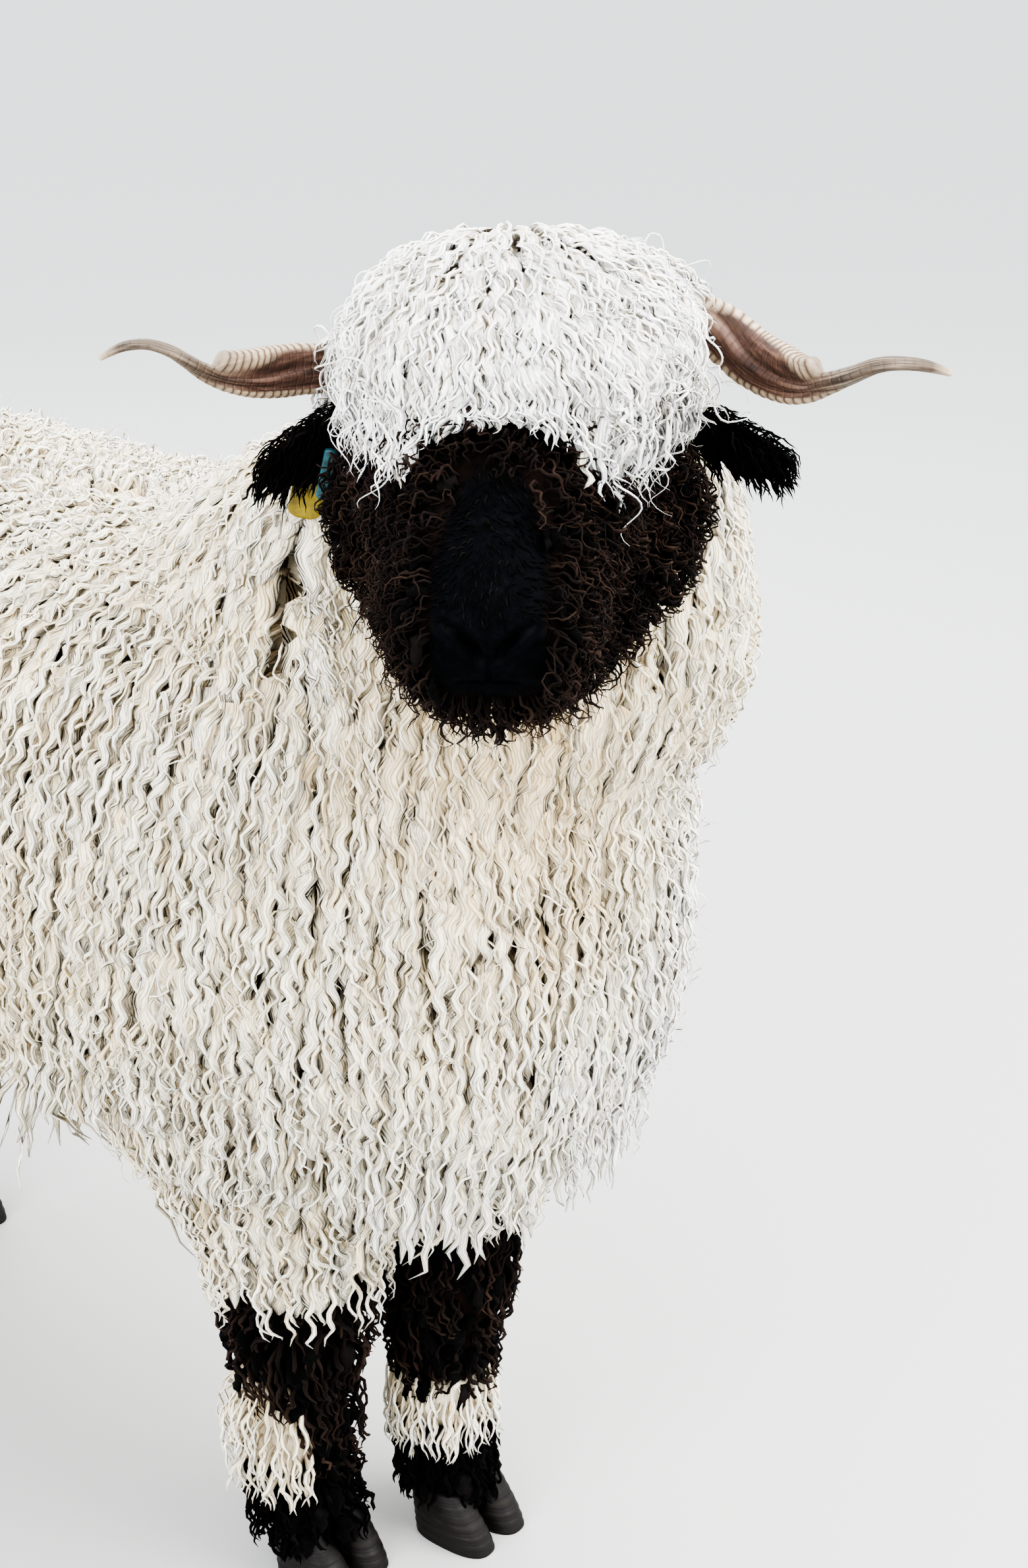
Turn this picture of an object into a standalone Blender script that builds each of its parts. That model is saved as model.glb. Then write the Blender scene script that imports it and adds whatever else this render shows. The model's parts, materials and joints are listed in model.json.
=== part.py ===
"""Valais Blacknose sheep, life size, standing square with its head turned to its right.

Metres, +Z up. The body is laid out in the sheep's own frame: the spine in the plane X = 0, the face end
towards -Y, the sheep's left at +X and the ground at Z = 0. The head has a frame of its own, the same way
round, turned and lowered by HEAD_TURN and HEAD_NOD. Every piece is a loft through a list of rings, so any
piece can be made again a little larger, which is what cuts its neighbours clear of it.
"""
import math
import random

import bmesh
import bpy
from mathutils import Matrix, Vector
from mathutils.bvhtree import BVHTree

# Driving dimensions
WITHERS = 0.710                      # height of the core at the withers; the locks rise above it
HEAD_AT = Vector((-0.104, -0.476, 0.8175))   # middle of the skull, level with the eyes
HEAD_TURN = math.radians(55)         # how far the face is turned to the sheep's right
HEAD_NOD = math.radians(22)          # how far the nose is lowered
GAP = 0.0004                         # clearance that each piece keeps from its neighbours
HALF_GAP = GAP / 2
FLAT = 0.0015                        # faces that turn by no more than this angle are one flat face

DOWN = Vector((0, 0, -1))
UP = Vector((0, 0, 1))
LEFT = Vector((1, 0, 0))
RAY = Vector((0.31, 0.17, 0.93)).normalized()     # any way that lies in no face will do

HEAD_FRAME = (
    Matrix.Translation(HEAD_AT)
    @ Matrix.Rotation(-HEAD_TURN, 4, "Z")
    @ Matrix.Rotation(HEAD_NOD, 4, "X")
)

# Sides of the lofts
BARREL_SIDES = 18
NECK_SIDES = 14
HEAD_SIDES = 16
WOOL_SIDES = 14
LIMB_SIDES = 10
SMALL_SIDES = 8
LIP_SIDES = 5

BARREL_POWER = 2.7                   # how square the barrel's section is; 2 would be an ellipse
# Stations of the barrel's core, rump to chest: y, top, bottom, half width
TORSO = (
    (0.455, 0.600, 0.520, 0.045),
    (0.440, 0.650, 0.470, 0.115),
    (0.395, 0.688, 0.430, 0.180),
    (0.300, 0.700, 0.405, 0.222),
    (0.150, 0.694, 0.385, 0.240),
    (0.000, 0.690, 0.378, 0.238),
    (-0.130, 0.700, 0.376, 0.222),
    (-0.240, WITHERS, 0.368, 0.206),
    (-0.340, 0.700, 0.352, 0.182),
    (-0.405, 0.665, 0.344, 0.152),
    (-0.445, 0.620, 0.374, 0.115),
    (-0.466, 0.560, 0.440, 0.055),
)
# Stations of the neck's core: centre, half width, half depth
NECK = (
    ((0.000, -0.190, 0.560), 0.130, 0.120),
    ((0.004, -0.285, 0.630), 0.138, 0.126),
    ((0.024, -0.370, 0.696), 0.152, 0.116),
    ((0.010, -0.414, 0.757), 0.131, 0.094),
    ((-0.036, -0.432, 0.806), 0.086, 0.072),
)
# Stations of the head's core in the head's frame, poll to nose: y, half width, top, bottom
HEAD = (
    (0.080, 0.045, 0.042, -0.035),
    (0.058, 0.060, 0.064, -0.062),
    (0.028, 0.068, 0.071, -0.082),
    (0.000, 0.071, 0.070, -0.092),
    (-0.028, 0.069, 0.063, -0.097),
    (-0.056, 0.062, 0.054, -0.096),
    (-0.084, 0.053, 0.044, -0.090),
    (-0.110, 0.046, 0.034, -0.080),
    (-0.132, 0.043, 0.024, -0.069),
    (-0.149, 0.039, 0.012, -0.058),
    (-0.161, 0.031, -0.001, -0.047),
    (-0.167, 0.016, -0.014, -0.034),
)
# Stations of the woolly jowls and beard, throat to chin
BEARD = (
    (0.050, 0.050, -0.010, -0.080),
    (0.020, 0.080, 0.005, -0.102),
    (-0.015, 0.082, -0.005, -0.110),
    (-0.050, 0.064, -0.020, -0.110),
    (-0.085, 0.046, -0.035, -0.104),
    (-0.112, 0.028, -0.048, -0.092),
)
# Stations of the wool cap on the skull, from behind the poll to the brow: y, half width, top, bottom
CAP = (
    (0.088, 0.040, 0.062, -0.010),
    (0.070, 0.072, 0.086, -0.020),
    (0.040, 0.092, 0.100, -0.010),
    (0.005, 0.093, 0.098, 0.018),
    (-0.025, 0.080, 0.087, 0.034),
    (-0.052, 0.056, 0.072, 0.040),
)
CROWN = Vector((0, 0.045, 0.085))    # where the forelock's locks part
# In the head's frame: where the muzzle has short hair only, in front of BARE_FROM and, over the height
# BRIDGE_OVER, in front of BRIDGE_FROM; and where the cap covers the skull
BARE_FROM = -0.100
BRIDGE_FROM = -0.045
BRIDGE_OVER = -0.035
CAP_OVER = 0.045
CAP_BEHIND = 0.055
EYE_CLEAR = 0.030                    # how far curls stay from an eye, and from an ear's root
EAR_CLEAR = 0.034
EYE_AT = Vector((0.0590, -0.006, 0.026))
EYE_SIGHT = Vector((1.0, -0.30, 0.05))
EYE_R = 0.0135
BALL_END = 0.07                      # from a ball's pole to its first ring, as a share of half a turn
LID_R = 0.0165
LID_STRETCH = 1.12                   # the lids' length as a share of their height
# The opening between the lids: half length and height, and reach and size of the wedge that cuts it
LID_OPENING = (0.0145, 0.0085)
LID_WEDGE = ((0.3, 0.55), (0.85, 0.9), (1.7, 1.3))
EAR_ROOT = Vector((0.062, 0.034, 0.004))
EAR_TIP = {1: Vector((0.154, 0.046, -0.056)), -1: Vector((-0.140, 0.042, -0.067))}
EAR_FACE = Vector((0.15, -0.86, -0.42))      # the cup looks forward and a little down
EAR_HALF_WIDTH = 0.0225
EAR_HALF_THICK = 0.0055
EAR_CUP = 0.55                       # how far an ear's edges bend forward, as a share of its half width
# Share of the way along the ear, and its width there as a share of the widest
EAR_SHAPE = ((-0.12, 0.42), (0.10, 0.55), (0.30, 0.84), (0.52, 1.0), (0.76, 0.92), (0.92, 0.64), (1.0, 0.20))
# Stations of the left horn in the head's frame: centre, half width, half thickness
HORN = (
    ((0.030, 0.036, 0.044), 0.0240, 0.0160),
    ((0.055, 0.060, 0.064), 0.0250, 0.0170),
    ((0.077, 0.077, 0.047), 0.0250, 0.0165),
    ((0.095, 0.087, 0.021), 0.0240, 0.0150),
    ((0.113, 0.084, 0.003), 0.0220, 0.0130),
    ((0.130, 0.066, -0.003), 0.0180, 0.0110),
    ((0.146, 0.045, 0.004), 0.0120, 0.0085),
    ((0.160, 0.030, 0.017), 0.0082, 0.0065),
    ((0.173, 0.025, 0.027), 0.0070, 0.0058),
    ((0.188, 0.025, 0.032), 0.0064, 0.0052),
    ((0.203, 0.030, 0.029), 0.0055, 0.0045),
    ((0.217, 0.035, 0.021), 0.0038, 0.0032),
)
HORN_STEPS = 2                       # rings between two stations of a horn
HORN_SIDES = 7
HORN_TWIST = (math.radians(20), math.radians(90))    # how its broad side turns from root to tip
RIB = 0.035                          # share by which a horn's ribs swell it

# The mouth's line in the head's frame, from its left corner to the middle of the lips
MOUTH = ((0.0450, -0.102, -0.056), (0.0430, -0.122, -0.050), (0.0390, -0.140, -0.044),
         (0.0280, -0.157, -0.038), (0.0120, -0.1665, -0.035))
MOUTH_R = 0.0022
LIP_R = 0.0070
LIP_RISE = 0.0080                    # how far over and under the mouth's line the lips lie
NOSTRIL_IN = Vector((0.0075, -0.170, -0.024))
NOSTRIL_OUT = Vector((0.0250, -0.158, -0.006))
NOSTRIL_R = 0.0034

# The white wool on a shank: share of the way up, and how far it stands off the leg there
PUFF = ((0.0, 0.006), (0.22, 0.013), (0.62, 0.014), (1.0, 0.005))
TUFT_TIP = 0.066                     # height that its tufts reach down to

# Where each hoof stands, and the heights that part the legs' colours
FORE_RIGHT = Vector((-0.060, -0.276, 0))
FORE_LEFT = Vector((0.032, -0.322, 0))
HIND_RIGHT = Vector((-0.088, 0.318, 0))
HIND_LEFT = Vector((0.088, 0.282, 0))
HOOF_TOP = 0.036
FOOT_TOP = 0.092
SHANK_TOP = 0.160
KNEE_TOP = 0.262
HOCK_TOP = 0.300
FORE_SPLIT = 0.345                   # heights at which the upper legs are parted from the torso
HIND_SPLIT = 0.385
LEG_ROOT = 0.500
REACH = 0.400                        # further than any half of the body reaches
MIN_STEP = 0.004                     # least height between two rings of a leg
LEG_LEAN = 0.25                      # how far the legs spread on their way up, as a share of the foot's x
# The plane that parts the neck from the torso
NECK_CUT_AT = Vector((-0.03, -0.33, 0.70))
NECK_CUT_NORMAL = Vector((-0.185, -0.71, 0.68))
COLLAR_BACK = 0.012                  # how far behind that plane a row of the torso's locks is rooted
COLLAR_COUNT = 9
# Rows of the torso's locks: their height, and how steeply each row is sought from the barrel's middle
ROWS = ((0.600, 1.10), (0.600, 0.15), (0.490, 0.0))
ROW_STEP = 0.108                     # from one lock of a row to the next
ROW_JITTER = 0.012
ROW_LEAST = 0.066                    # roots nearer than this to one already set are left out
BARREL_FRONT = -0.300                # the straight part of the rows, with a fan of FAN_COUNT at each end
BARREL_END = 0.330
FAN_COUNT = 5
FAN_STAGGER = 0.4                    # how far every other row's fan is turned, as a share of its step
CHEST_FROM = -0.360                  # in front of this the wool hangs straight down
NAPE = 0.785                         # above this the neck is under the head's wool and has no locks
CLAW_OFF = 0.0165                    # from a foot's middle to a claw's
# Stations of a claw: height, half width, half length, offset back
CLAW = (
    (0.0, 0.0148, 0.031, -0.014),
    (0.014, 0.0146, 0.029, -0.010),
    (HOOF_TOP - HALF_GAP, 0.0125, 0.022, 0.001),
)
CLAW_POWER = 2.6
PAD_HALF = 0.013
PAD_HEIGHTS = (0.010, 0.034)
DEWCLAW_OFF = 0.013                  # from a foot's middle to a dewclaw's, and its offsets back and heights
DEWCLAW = ((0.030, 0.072), (0.044, 0.066), (0.049, 0.060))
DEWCLAW_R = (0.008, 0.0065, 0.004)
# Stations of a foreleg above its hoof: height, offset back, half width, half length
FORELEG = (
    (HOOF_TOP, 0.004, 0.033, 0.034),
    (FOOT_TOP, 0.012, 0.034, 0.035),
    (SHANK_TOP, 0.010, 0.040, 0.042),
    (0.185, 0.006, 0.046, 0.047),
    (0.225, 0.005, 0.045, 0.047),
    (KNEE_TOP, 0.006, 0.044, 0.048),
    (0.320, 0.020, 0.060, 0.076),
    (0.400, 0.030, 0.082, 0.106),
    (LEG_ROOT, 0.034, 0.092, 0.114),
)
HINDLEG = (
    (HOOF_TOP, 0.004, 0.027, 0.030),
    (FOOT_TOP, 0.016, 0.030, 0.032),
    (SHANK_TOP, 0.026, 0.032, 0.036),
    (0.220, 0.038, 0.036, 0.044),
    (0.268, 0.046, 0.041, 0.056),
    (HOCK_TOP, 0.038, 0.048, 0.066),
    (0.370, -0.004, 0.075, 0.105),
    (0.440, -0.030, 0.095, 0.135),
    (LEG_ROOT, -0.045, 0.100, 0.140),
)
TAIL = ((0, 0.425, 0.650), (0, 0.468, 0.632), (0, 0.497, 0.570), (0, 0.500, 0.480), (0, 0.494, 0.400))
TAIL_R = (0.026, 0.030, 0.030, 0.026, 0.014)
TAIL_FLAT = 0.8
TAIL_FREE = 0.470                    # behind this the tail stands clear of the rump and carries locks
TAIL_TIP = 0.370

# Heights of the fleece's hem: in front of the forelegs, at them, along the belly and over the hind legs
BRISKET_HEM = 0.298
LEG_HEM = 0.352
BELLY_HEM = 0.350
THIGH_HEM = 0.392
LEG_FRONT = 0.092                    # how far before its foot, and behind it, an upper leg's wool reaches
LEG_BACK = 0.130
FRINGE_AT = (-0.064, -0.033, -0.002, 0.030, 0.062)    # where the brow's locks root, across the head
FRINGE_Y = -0.022
FRINGE_LENGTH = 0.085
FRINGE_LIE = (6, -1, -0.4)           # which way they fall in the head's frame; the first is times their x
FRINGE_BEHIND = -0.005               # the rest of the forelock's roots lie from here back to the poll,
POLL = 0.078                         # over the height CAP_HEM
CAP_HEM = 0.030
FRINGE_RISE = 0.005                  # how high over the eyes the forelock ends in the middle
FRINGE_FALL = 1.0                    # how much lower its tips get towards the sides, per metre of width
HEM_DRIFT = 0.035                    # how far behind its root a lock of the body may end
HIND_FRONT = 0.20                    # where the hem rises to the thighs

# Locks: share of the way along one, and its width and thickness there as shares of the whole
LONG_LOCK = ((0.0, 0.66, 0.8), (0.28, 0.98, 1.0), (0.55, 0.98, 0.86), (0.8, 0.60, 0.56), (1.0, 0.10, 0.16))
SHORT_LOCK = ((0.0, 0.80, 0.9), (0.45, 1.0, 1.0), (1.0, 0.16, 0.22))
LOCK_SIDES = 4
TRIES = 30                           # random places tried for each that there is room for
LEAST = 0.30                         # a lock cut shorter than this share of its length is left out
SINK = 0.014                         # how deep a root is sunk in its core
SETTLE_OVER = 0.3                    # a lock settles back on what lies no steeper than this under it
TORSO_LOCK = dict(
    shape=LONG_LOCK, spacing=0.120, length=0.185, width=0.112,
    thick=0.030, lift=0.024, droop=0.22, wave=0.014,
)
NECK_LOCK = dict(
    shape=LONG_LOCK, spacing=0.086, length=0.135, width=0.090,
    thick=0.026, lift=0.017, droop=0.25, wave=0.008,
)
SLEEVE_LOCK = dict(
    shape=SHORT_LOCK, spacing=0.068, length=0.115, width=0.076,
    thick=0.024, lift=0.026, droop=0.5, wave=0.007,
)
SHANK_LOCK = dict(
    shape=SHORT_LOCK, spacing=0.062, length=0.060, width=0.060,
    thick=0.018, lift=0.006, droop=0.6, wave=0.004,
)
TAIL_LOCK = dict(
    shape=SHORT_LOCK, spacing=0.064, length=0.095, width=0.056,
    thick=0.020, lift=0.016, droop=0.5, wave=0.006,
)
FORELOCK_LOCK = dict(
    shape=LONG_LOCK, spacing=0.054, length=0.100, width=0.052,
    thick=0.018, lift=0.012, droop=0.22, wave=0.007,
)
# Clumps of curls: share of the height, and the size there as a share of the whole
CLUMP_SHAPE = ((-0.5, 0.8), (0.35, 1.0), (1.0, 0.45))
CLUMP_SIDES = 6
FACE_CLUMP = dict(spacing=0.044, size=0.0265, height=0.016)


WHITE = (0.80, 0.75, 0.65)
BLACK = (0.018, 0.013, 0.012)
HORN_COLOUR = (0.50, 0.38, 0.27)
HOOF_COLOUR = (0.05, 0.04, 0.035)
EYE_COLOUR = (0.02, 0.012, 0.006)
YELLOW = (0.85, 0.55, 0.03)
TEAL = (0.02, 0.30, 0.30)

# Ear tags in the head's frame: top, lower end, width, colour. One lies before the ear, one behind it
TAGS = {
    "yellow": ((-0.1045, 0.054, -0.0560), (-0.1150, 0.052, -0.0875), 0.018, YELLOW),
    "teal": ((-0.0955, 0.024, -0.0285), (-0.1042, 0.026, -0.0630), 0.010, TEAL),
}
TAG_THICK = 0.0016


# ---------------------------------------------------------------- lofts
def ring(centre, across, up, power=2.0, bend=None):
    """One section of a loft: a superellipse spanned by two half axes.

    `bend` is a vector that, times the square of the distance along `across`, is added to each point.
    """
    return Vector(centre), Vector(across), Vector(up), power, bend or Vector()


def swollen(piece, amount):
    """A loft whose surface stands off another's by `amount`, at its sides and at its ends."""
    rings, sides = piece
    grown = []
    for index, (centre, across, up, power, bend) in enumerate(rings):
        if index == 0:
            centre = centre + (centre - rings[1][0]).normalized() * amount
        if index == len(rings) - 1:
            centre = centre + (centre - rings[-2][0]).normalized() * amount
        across = across * (1 + amount / across.length)
        grown.append(ring(centre, across, up * (1 + amount / up.length), power, bend))
    return grown, sides


def bulge(value, power):
    return math.copysign(abs(value) ** (2 / power), value)


def ring_points(section, sides):
    centre, across, up, power, bend = section
    points = []
    for k in range(sides):
        angle = 2 * math.pi * k / sides
        x = bulge(math.cos(angle), power)
        y = bulge(math.sin(angle), power)
        points.append(centre + across * x + up * y + bend * (x * across.length) ** 2)
    return points


def loft(name, piece):
    """A closed object through a piece's rings, with a fan at each end."""
    rings, sides = piece
    shape = bmesh.new()
    rows = [[shape.verts.new(point) for point in ring_points(section, sides)] for section in rings]
    for lower, upper in zip(rows, rows[1:]):
        for k in range(sides):
            near = (k + 1) % sides
            shape.faces.new((lower[k], lower[near], upper[near]))
            shape.faces.new((lower[k], upper[near], upper[k]))
    for row, section in ((rows[0], rings[0]), (rows[-1], rings[-1])):
        middle = shape.verts.new(section[0])
        for k in range(sides):
            shape.faces.new((middle, row[k], row[(k + 1) % sides]))
    bmesh.ops.recalc_face_normals(shape, faces=shape.faces)
    return linked(name, shape)


def block(low, high, frame=Matrix()):
    """A closed box between two corners, in a frame."""
    shape = bmesh.new()
    size = Vector(high) - Vector(low)
    place = Matrix.Translation((Vector(high) + Vector(low)) / 2) @ Matrix.Diagonal((*size, 1))
    bmesh.ops.create_cube(shape, size=1, matrix=frame @ place)
    return linked("block", shape)


def linked(name, shape):
    mesh = bpy.data.meshes.new(name)
    shape.to_mesh(mesh)
    shape.free()
    made = bpy.data.objects.new(name, mesh)
    bpy.context.scene.collection.objects.link(made)
    return made


# ---------------------------------------------------------------- joining and cutting
def remove(thing):
    mesh = thing.data
    bpy.data.objects.remove(thing)
    bpy.data.meshes.remove(mesh)


def apply_modifiers(thing):
    graph = bpy.context.evaluated_depsgraph_get()
    made = bpy.data.meshes.new_from_object(thing.evaluated_get(graph))
    thing.modifiers.clear()
    old = thing.data
    thing.data = made
    bpy.data.meshes.remove(old)


def fuse(name, pieces):
    """One object from several closed lofts, joined by one Boolean union."""
    parts = [loft(name, piece) for piece in pieces]
    base = parts[0]
    if len(parts) == 1:
        return base
    others = bpy.data.collections.new("others")
    bpy.context.scene.collection.children.link(others)
    for part in parts[1:]:
        others.objects.link(part)
        bpy.context.scene.collection.objects.unlink(part)
    union = base.modifiers.new("union", "BOOLEAN")
    union.operation = "UNION"
    union.operand_type = "COLLECTION"
    union.collection = others
    union.solver = "MANIFOLD"
    apply_modifiers(base)
    for part in list(others.objects):
        remove(part)
    bpy.data.collections.remove(others)
    return base


def combine(thing, cutter, operation):
    """Applies a Boolean between two objects to the first and removes the second."""
    change = thing.modifiers.new("change", "BOOLEAN")
    change.operation = operation
    change.object = cutter
    change.solver = "MANIFOLD"
    apply_modifiers(thing)
    remove(cutter)


def carve(thing, pieces, clearance=GAP):
    """Cuts some lofts out of an object, with a clearance round them."""
    combine(thing, fuse("cutter", [swollen(piece, clearance) for piece in pieces]), "DIFFERENCE")


def part_off(thing, low, high, frame=Matrix()):
    """Parts what lies in a block from an object, as an object of its own with a gap between the two."""
    piece = thing.copy()
    piece.data = thing.data.copy()
    bpy.context.scene.collection.objects.link(piece)
    margin = Vector((HALF_GAP, HALF_GAP, HALF_GAP))
    low, high = Vector(low), Vector(high)
    combine(piece, block(low + margin, high - margin, frame), "INTERSECT")
    combine(thing, block(low - margin, high + margin, frame), "DIFFERENCE")
    return piece


def keep_largest(thing):
    """Keeps the largest closed surface of an object, with the splinters of its flat faces joined."""
    shape = bmesh.new()
    shape.from_mesh(thing.data)
    unseen = set(shape.faces)
    islands = []
    while unseen:
        todo = [unseen.pop()]
        island = []
        while todo:
            face = todo.pop()
            island.append(face)
            for edge in face.edges:
                for other in edge.link_faces:
                    if other in unseen:
                        unseen.remove(other)
                        todo.append(other)
        islands.append(island)
    islands.sort(key=lambda faces: -sum(f.calc_area() for f in faces))
    dropped = [face for island in islands[1:] for face in island]
    if dropped:
        area = sum(f.calc_area() for f in dropped)
        print(f"{thing.name}: dropped {len(islands) - 1} scraps of {area * 1e4:.1f} cm2 in all")
        bmesh.ops.delete(shape, geom=dropped, context="FACES")
    bmesh.ops.dissolve_limit(shape, angle_limit=FLAT, verts=shape.verts, edges=shape.edges)
    bmesh.ops.triangulate(shape, faces=shape.faces)
    shape.to_mesh(thing.data)
    shape.free()


def finish_node(thing, name, colour, roughness=0.9):
    thing.name = name
    keep_largest(thing)
    material = bpy.data.materials.new(name)
    material.use_nodes = True
    shader = material.node_tree.nodes["Principled BSDF"]
    shader.inputs["Base Color"].default_value = (*colour, 1.0)
    shader.inputs["Roughness"].default_value = roughness
    thing.data.materials.clear()
    thing.data.materials.append(material)
    thing.data.shade_smooth()
    thing.data.set_sharp_from_angle(angle=math.radians(50))


# ---------------------------------------------------------------- curves and frames
def in_head(point):
    return HEAD_FRAME @ Vector(point)


def head_way(direction):
    return HEAD_FRAME.to_3x3() @ Vector(direction)


def head_ring(centre, across, up, power=2.0, bend=None):
    """A ring given in the head's frame."""
    return ring(in_head(centre), head_way(across), head_way(up), power, head_way(bend or Vector()))


def mirrored(point, sign):
    return Vector((point[0] * sign, point[1], point[2]))


def curve_through(rows, steps):
    """Catmull-Rom values through rows of numbers, with `steps` stretches between two rows."""
    made = []
    for i in range(len(rows) - 1):
        before, start, end = rows[max(i - 1, 0)], rows[i], rows[i + 1]
        after = rows[min(i + 2, len(rows) - 1)]
        for k in range(steps):
            t = k / steps
            weights = (
                (-t + 2 * t**2 - t**3) / 2, (2 - 5 * t**2 + 3 * t**3) / 2,
                (t + 4 * t**2 - 3 * t**3) / 2, (-t**2 + t**3) / 2,
            )
            columns = zip(before, start, end, after)
            made.append([sum(w * v for w, v in zip(weights, four)) for four in columns])
    made.append(list(rows[-1]))
    return made


def tube(points, radii, sides=6, flat=1.0, aim=UP):
    """A loft of round rings along points; `flat` squeezes them towards the direction `aim`."""
    points = [Vector(p) for p in points]
    sections = []
    for index, (point, radius) in enumerate(zip(points, radii)):
        along = (points[min(index + 1, len(points) - 1)] - points[max(index - 1, 0)]).normalized()
        across = along.cross(aim).normalized()
        sections.append(ring(point, across * radius, across.cross(along) * radius * flat))
    return sections, sides


# ---------------------------------------------------------------- locks and clumps
class Surface:
    """The outside of several lofts that overlap, to root things on and to lay them over."""

    def __init__(self, pieces):
        self.shells = []
        for piece in pieces:
            probe = loft("probe", piece)
            points = [v.co.copy() for v in probe.data.vertices]
            faces = [tuple(p.vertices) for p in probe.data.polygons]
            self.shells.append((BVHTree.FromPolygons(points, faces), points, faces))
            remove(probe)

    def above(self, place):
        """How high a place is above the surface, and which way is out there."""
        least = None
        for tree, _, _ in self.shells:
            _, out, _, distance = tree.find_nearest(place)
            height = -distance if self.inside(tree, place) else distance
            if least is None or height < least[0]:
                least = (height, out)
        return least

    @staticmethod
    def inside(tree, place):
        """Whether a ray from a place leaves the closed shell an odd number of times."""
        crossings = 0
        hit = tree.ray_cast(place, RAY)[0]
        while hit is not None:
            crossings += 1
            hit = tree.ray_cast(hit + RAY * 1e-5, RAY)[0]
        return crossings % 2 == 1

    def met(self, place, way):
        """Where a ray from outside first meets the surface, and the way out of it there."""
        hits = [tree.ray_cast(place, way) for tree, _, _ in self.shells]
        spot, out, _, _ = min((hit for hit in hits if hit[0]), key=lambda hit: hit[3])
        return spot, out

    def triangles(self):
        for _, points, faces in self.shells:
            for corners in faces:
                yield [points[i] for i in corners]


def scatter(surface, spacing, rng, keep, first=()):
    """Root places at least `spacing` apart over a surface, each with the way out of it."""
    triangles = list(surface.triangles())
    areas = [(b - a).cross(c - a).length / 2 for a, b, c in triangles]
    roots = list(first)
    for a, b, c in rng.choices(triangles, areas, k=int(TRIES * sum(areas) / spacing**2)):
        near, far = sorted((rng.random(), rng.random()))
        place = a * near + b * (far - near) + c * (1 - far)
        if any((place - other).length < spacing for other, _ in roots):
            continue
        out = (b - a).cross(c - a).normalized()
        if surface.above(place + out * 0.001)[0] > 0 and keep(place, out):
            roots.append((place, out))
    return roots


def lock(surface, root, out, lie, length, width, lift, style, rng):
    """A flat, tapered, wavy lock: it leaves the core at its root, bends over and falls along the lie."""
    forward = (lie - out * lie.dot(out)).normalized()
    side = out.cross(forward)
    phase = rng.uniform(0, 2 * math.pi)
    place = root.copy()
    path = [(root - out * SINK, out)]
    before = 0.0
    for share, _, _ in style["shape"][1:]:
        droop = style["droop"]
        forward = (forward * (1 - droop) + DOWN * droop).normalized()
        place = place + forward * length * (share - before)
        before = share
        height, way = surface.above(place)
        wanted = lift * min(1.0, 0.45 + share)
        if height < wanted or way.z > -SETTLE_OVER:
            place = place + way * (wanted - height)
        path.append((place + side * style["wave"] * share * math.sin(phase + 5 * share), way))
    rings = []
    for index, ((centre, way), (_, wide, deep)) in enumerate(zip(path, style["shape"])):
        along = (path[min(index + 1, len(path) - 1)][0] - path[max(index - 1, 0)][0]).normalized()
        across = (side - along * side.dot(along)).normalized()
        up = across.cross(along)
        rings.append(ring(centre, across * width * wide / 2, up * style["thick"] * deep / 2))
    return rings, LOCK_SIDES


def coat(surface, seed, lie, keep, hem, style, first=()):
    """Locks set evenly over a surface, none of them reaching below the height `hem` gives for its root."""
    rng = random.Random(seed)
    locks = []
    for root, out in scatter(surface, style["spacing"], rng, keep, first):
        length = min(style["length"] * rng.uniform(0.88, 1.12), (root.z - hem(root)) * 0.98)
        if length < style["length"] * LEAST:
            continue
        width = style["width"] * rng.uniform(0.9, 1.1)
        lift = style["lift"] * rng.uniform(0.85, 1.1)
        locks.append(lock(surface, root, out, lie(root), length, width, lift, style, rng))
    return locks


def clumps(surface, seed, lie, keep, style):
    """Rounded clumps of curls, set close over a surface and leaning along its lie."""
    rng = random.Random(seed)
    made = []
    for root, out in scatter(surface, style["spacing"], rng, keep):
        way = (out + lie(root) * 0.45).normalized()
        across = way.orthogonal().normalized()
        up = way.cross(across)
        size = style["size"] * rng.uniform(0.85, 1.15)
        height = style["height"] * rng.uniform(0.85, 1.2)
        rings = []
        for s, wide in CLUMP_SHAPE:
            rings.append(ring(root + way * height * s, across * size * wide, up * size * wide))
        made.append((rings, CLUMP_SIDES))
    return made


# ---------------------------------------------------------------- the trunk
def torso_core():
    sections = []
    for y, top, bottom, half in TORSO:
        sections.append(
            ring((0, y, (top + bottom) / 2), (half, 0, 0), (0, 0, (top - bottom) / 2), BARREL_POWER)
        )
    return sections, BARREL_SIDES


def neck_core():
    centres = [Vector(centre) for centre, _, _ in NECK]
    sections = []
    for index, (_, half, deep) in enumerate(NECK):
        along = (centres[min(index + 1, len(NECK) - 1)] - centres[max(index - 1, 0)]).normalized()
        across = (LEFT - along * LEFT.dot(along)).normalized()
        sections.append(ring(centres[index], across * half, along.cross(across) * deep))
    return sections, NECK_SIDES


def tail_core():
    return tube(TAIL, TAIL_R, SMALL_SIDES, TAIL_FLAT, LEFT)


# ---------------------------------------------------------------- the head
def head_stations(stations, sides, power):
    sections = []
    for y, half, top, bottom in stations:
        sections.append(
            head_ring((0, y, (top + bottom) / 2), (half, 0, 0), (0, 0, (top - bottom) / 2), power)
        )
    return sections, sides


def head_core():
    return head_stations(HEAD, HEAD_SIDES, 2.25)


def beard_core():
    return head_stations(BEARD, WOOL_SIDES, 2.1)


def cap_core():
    return head_stations(CAP, WOOL_SIDES, 2.2)


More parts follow.
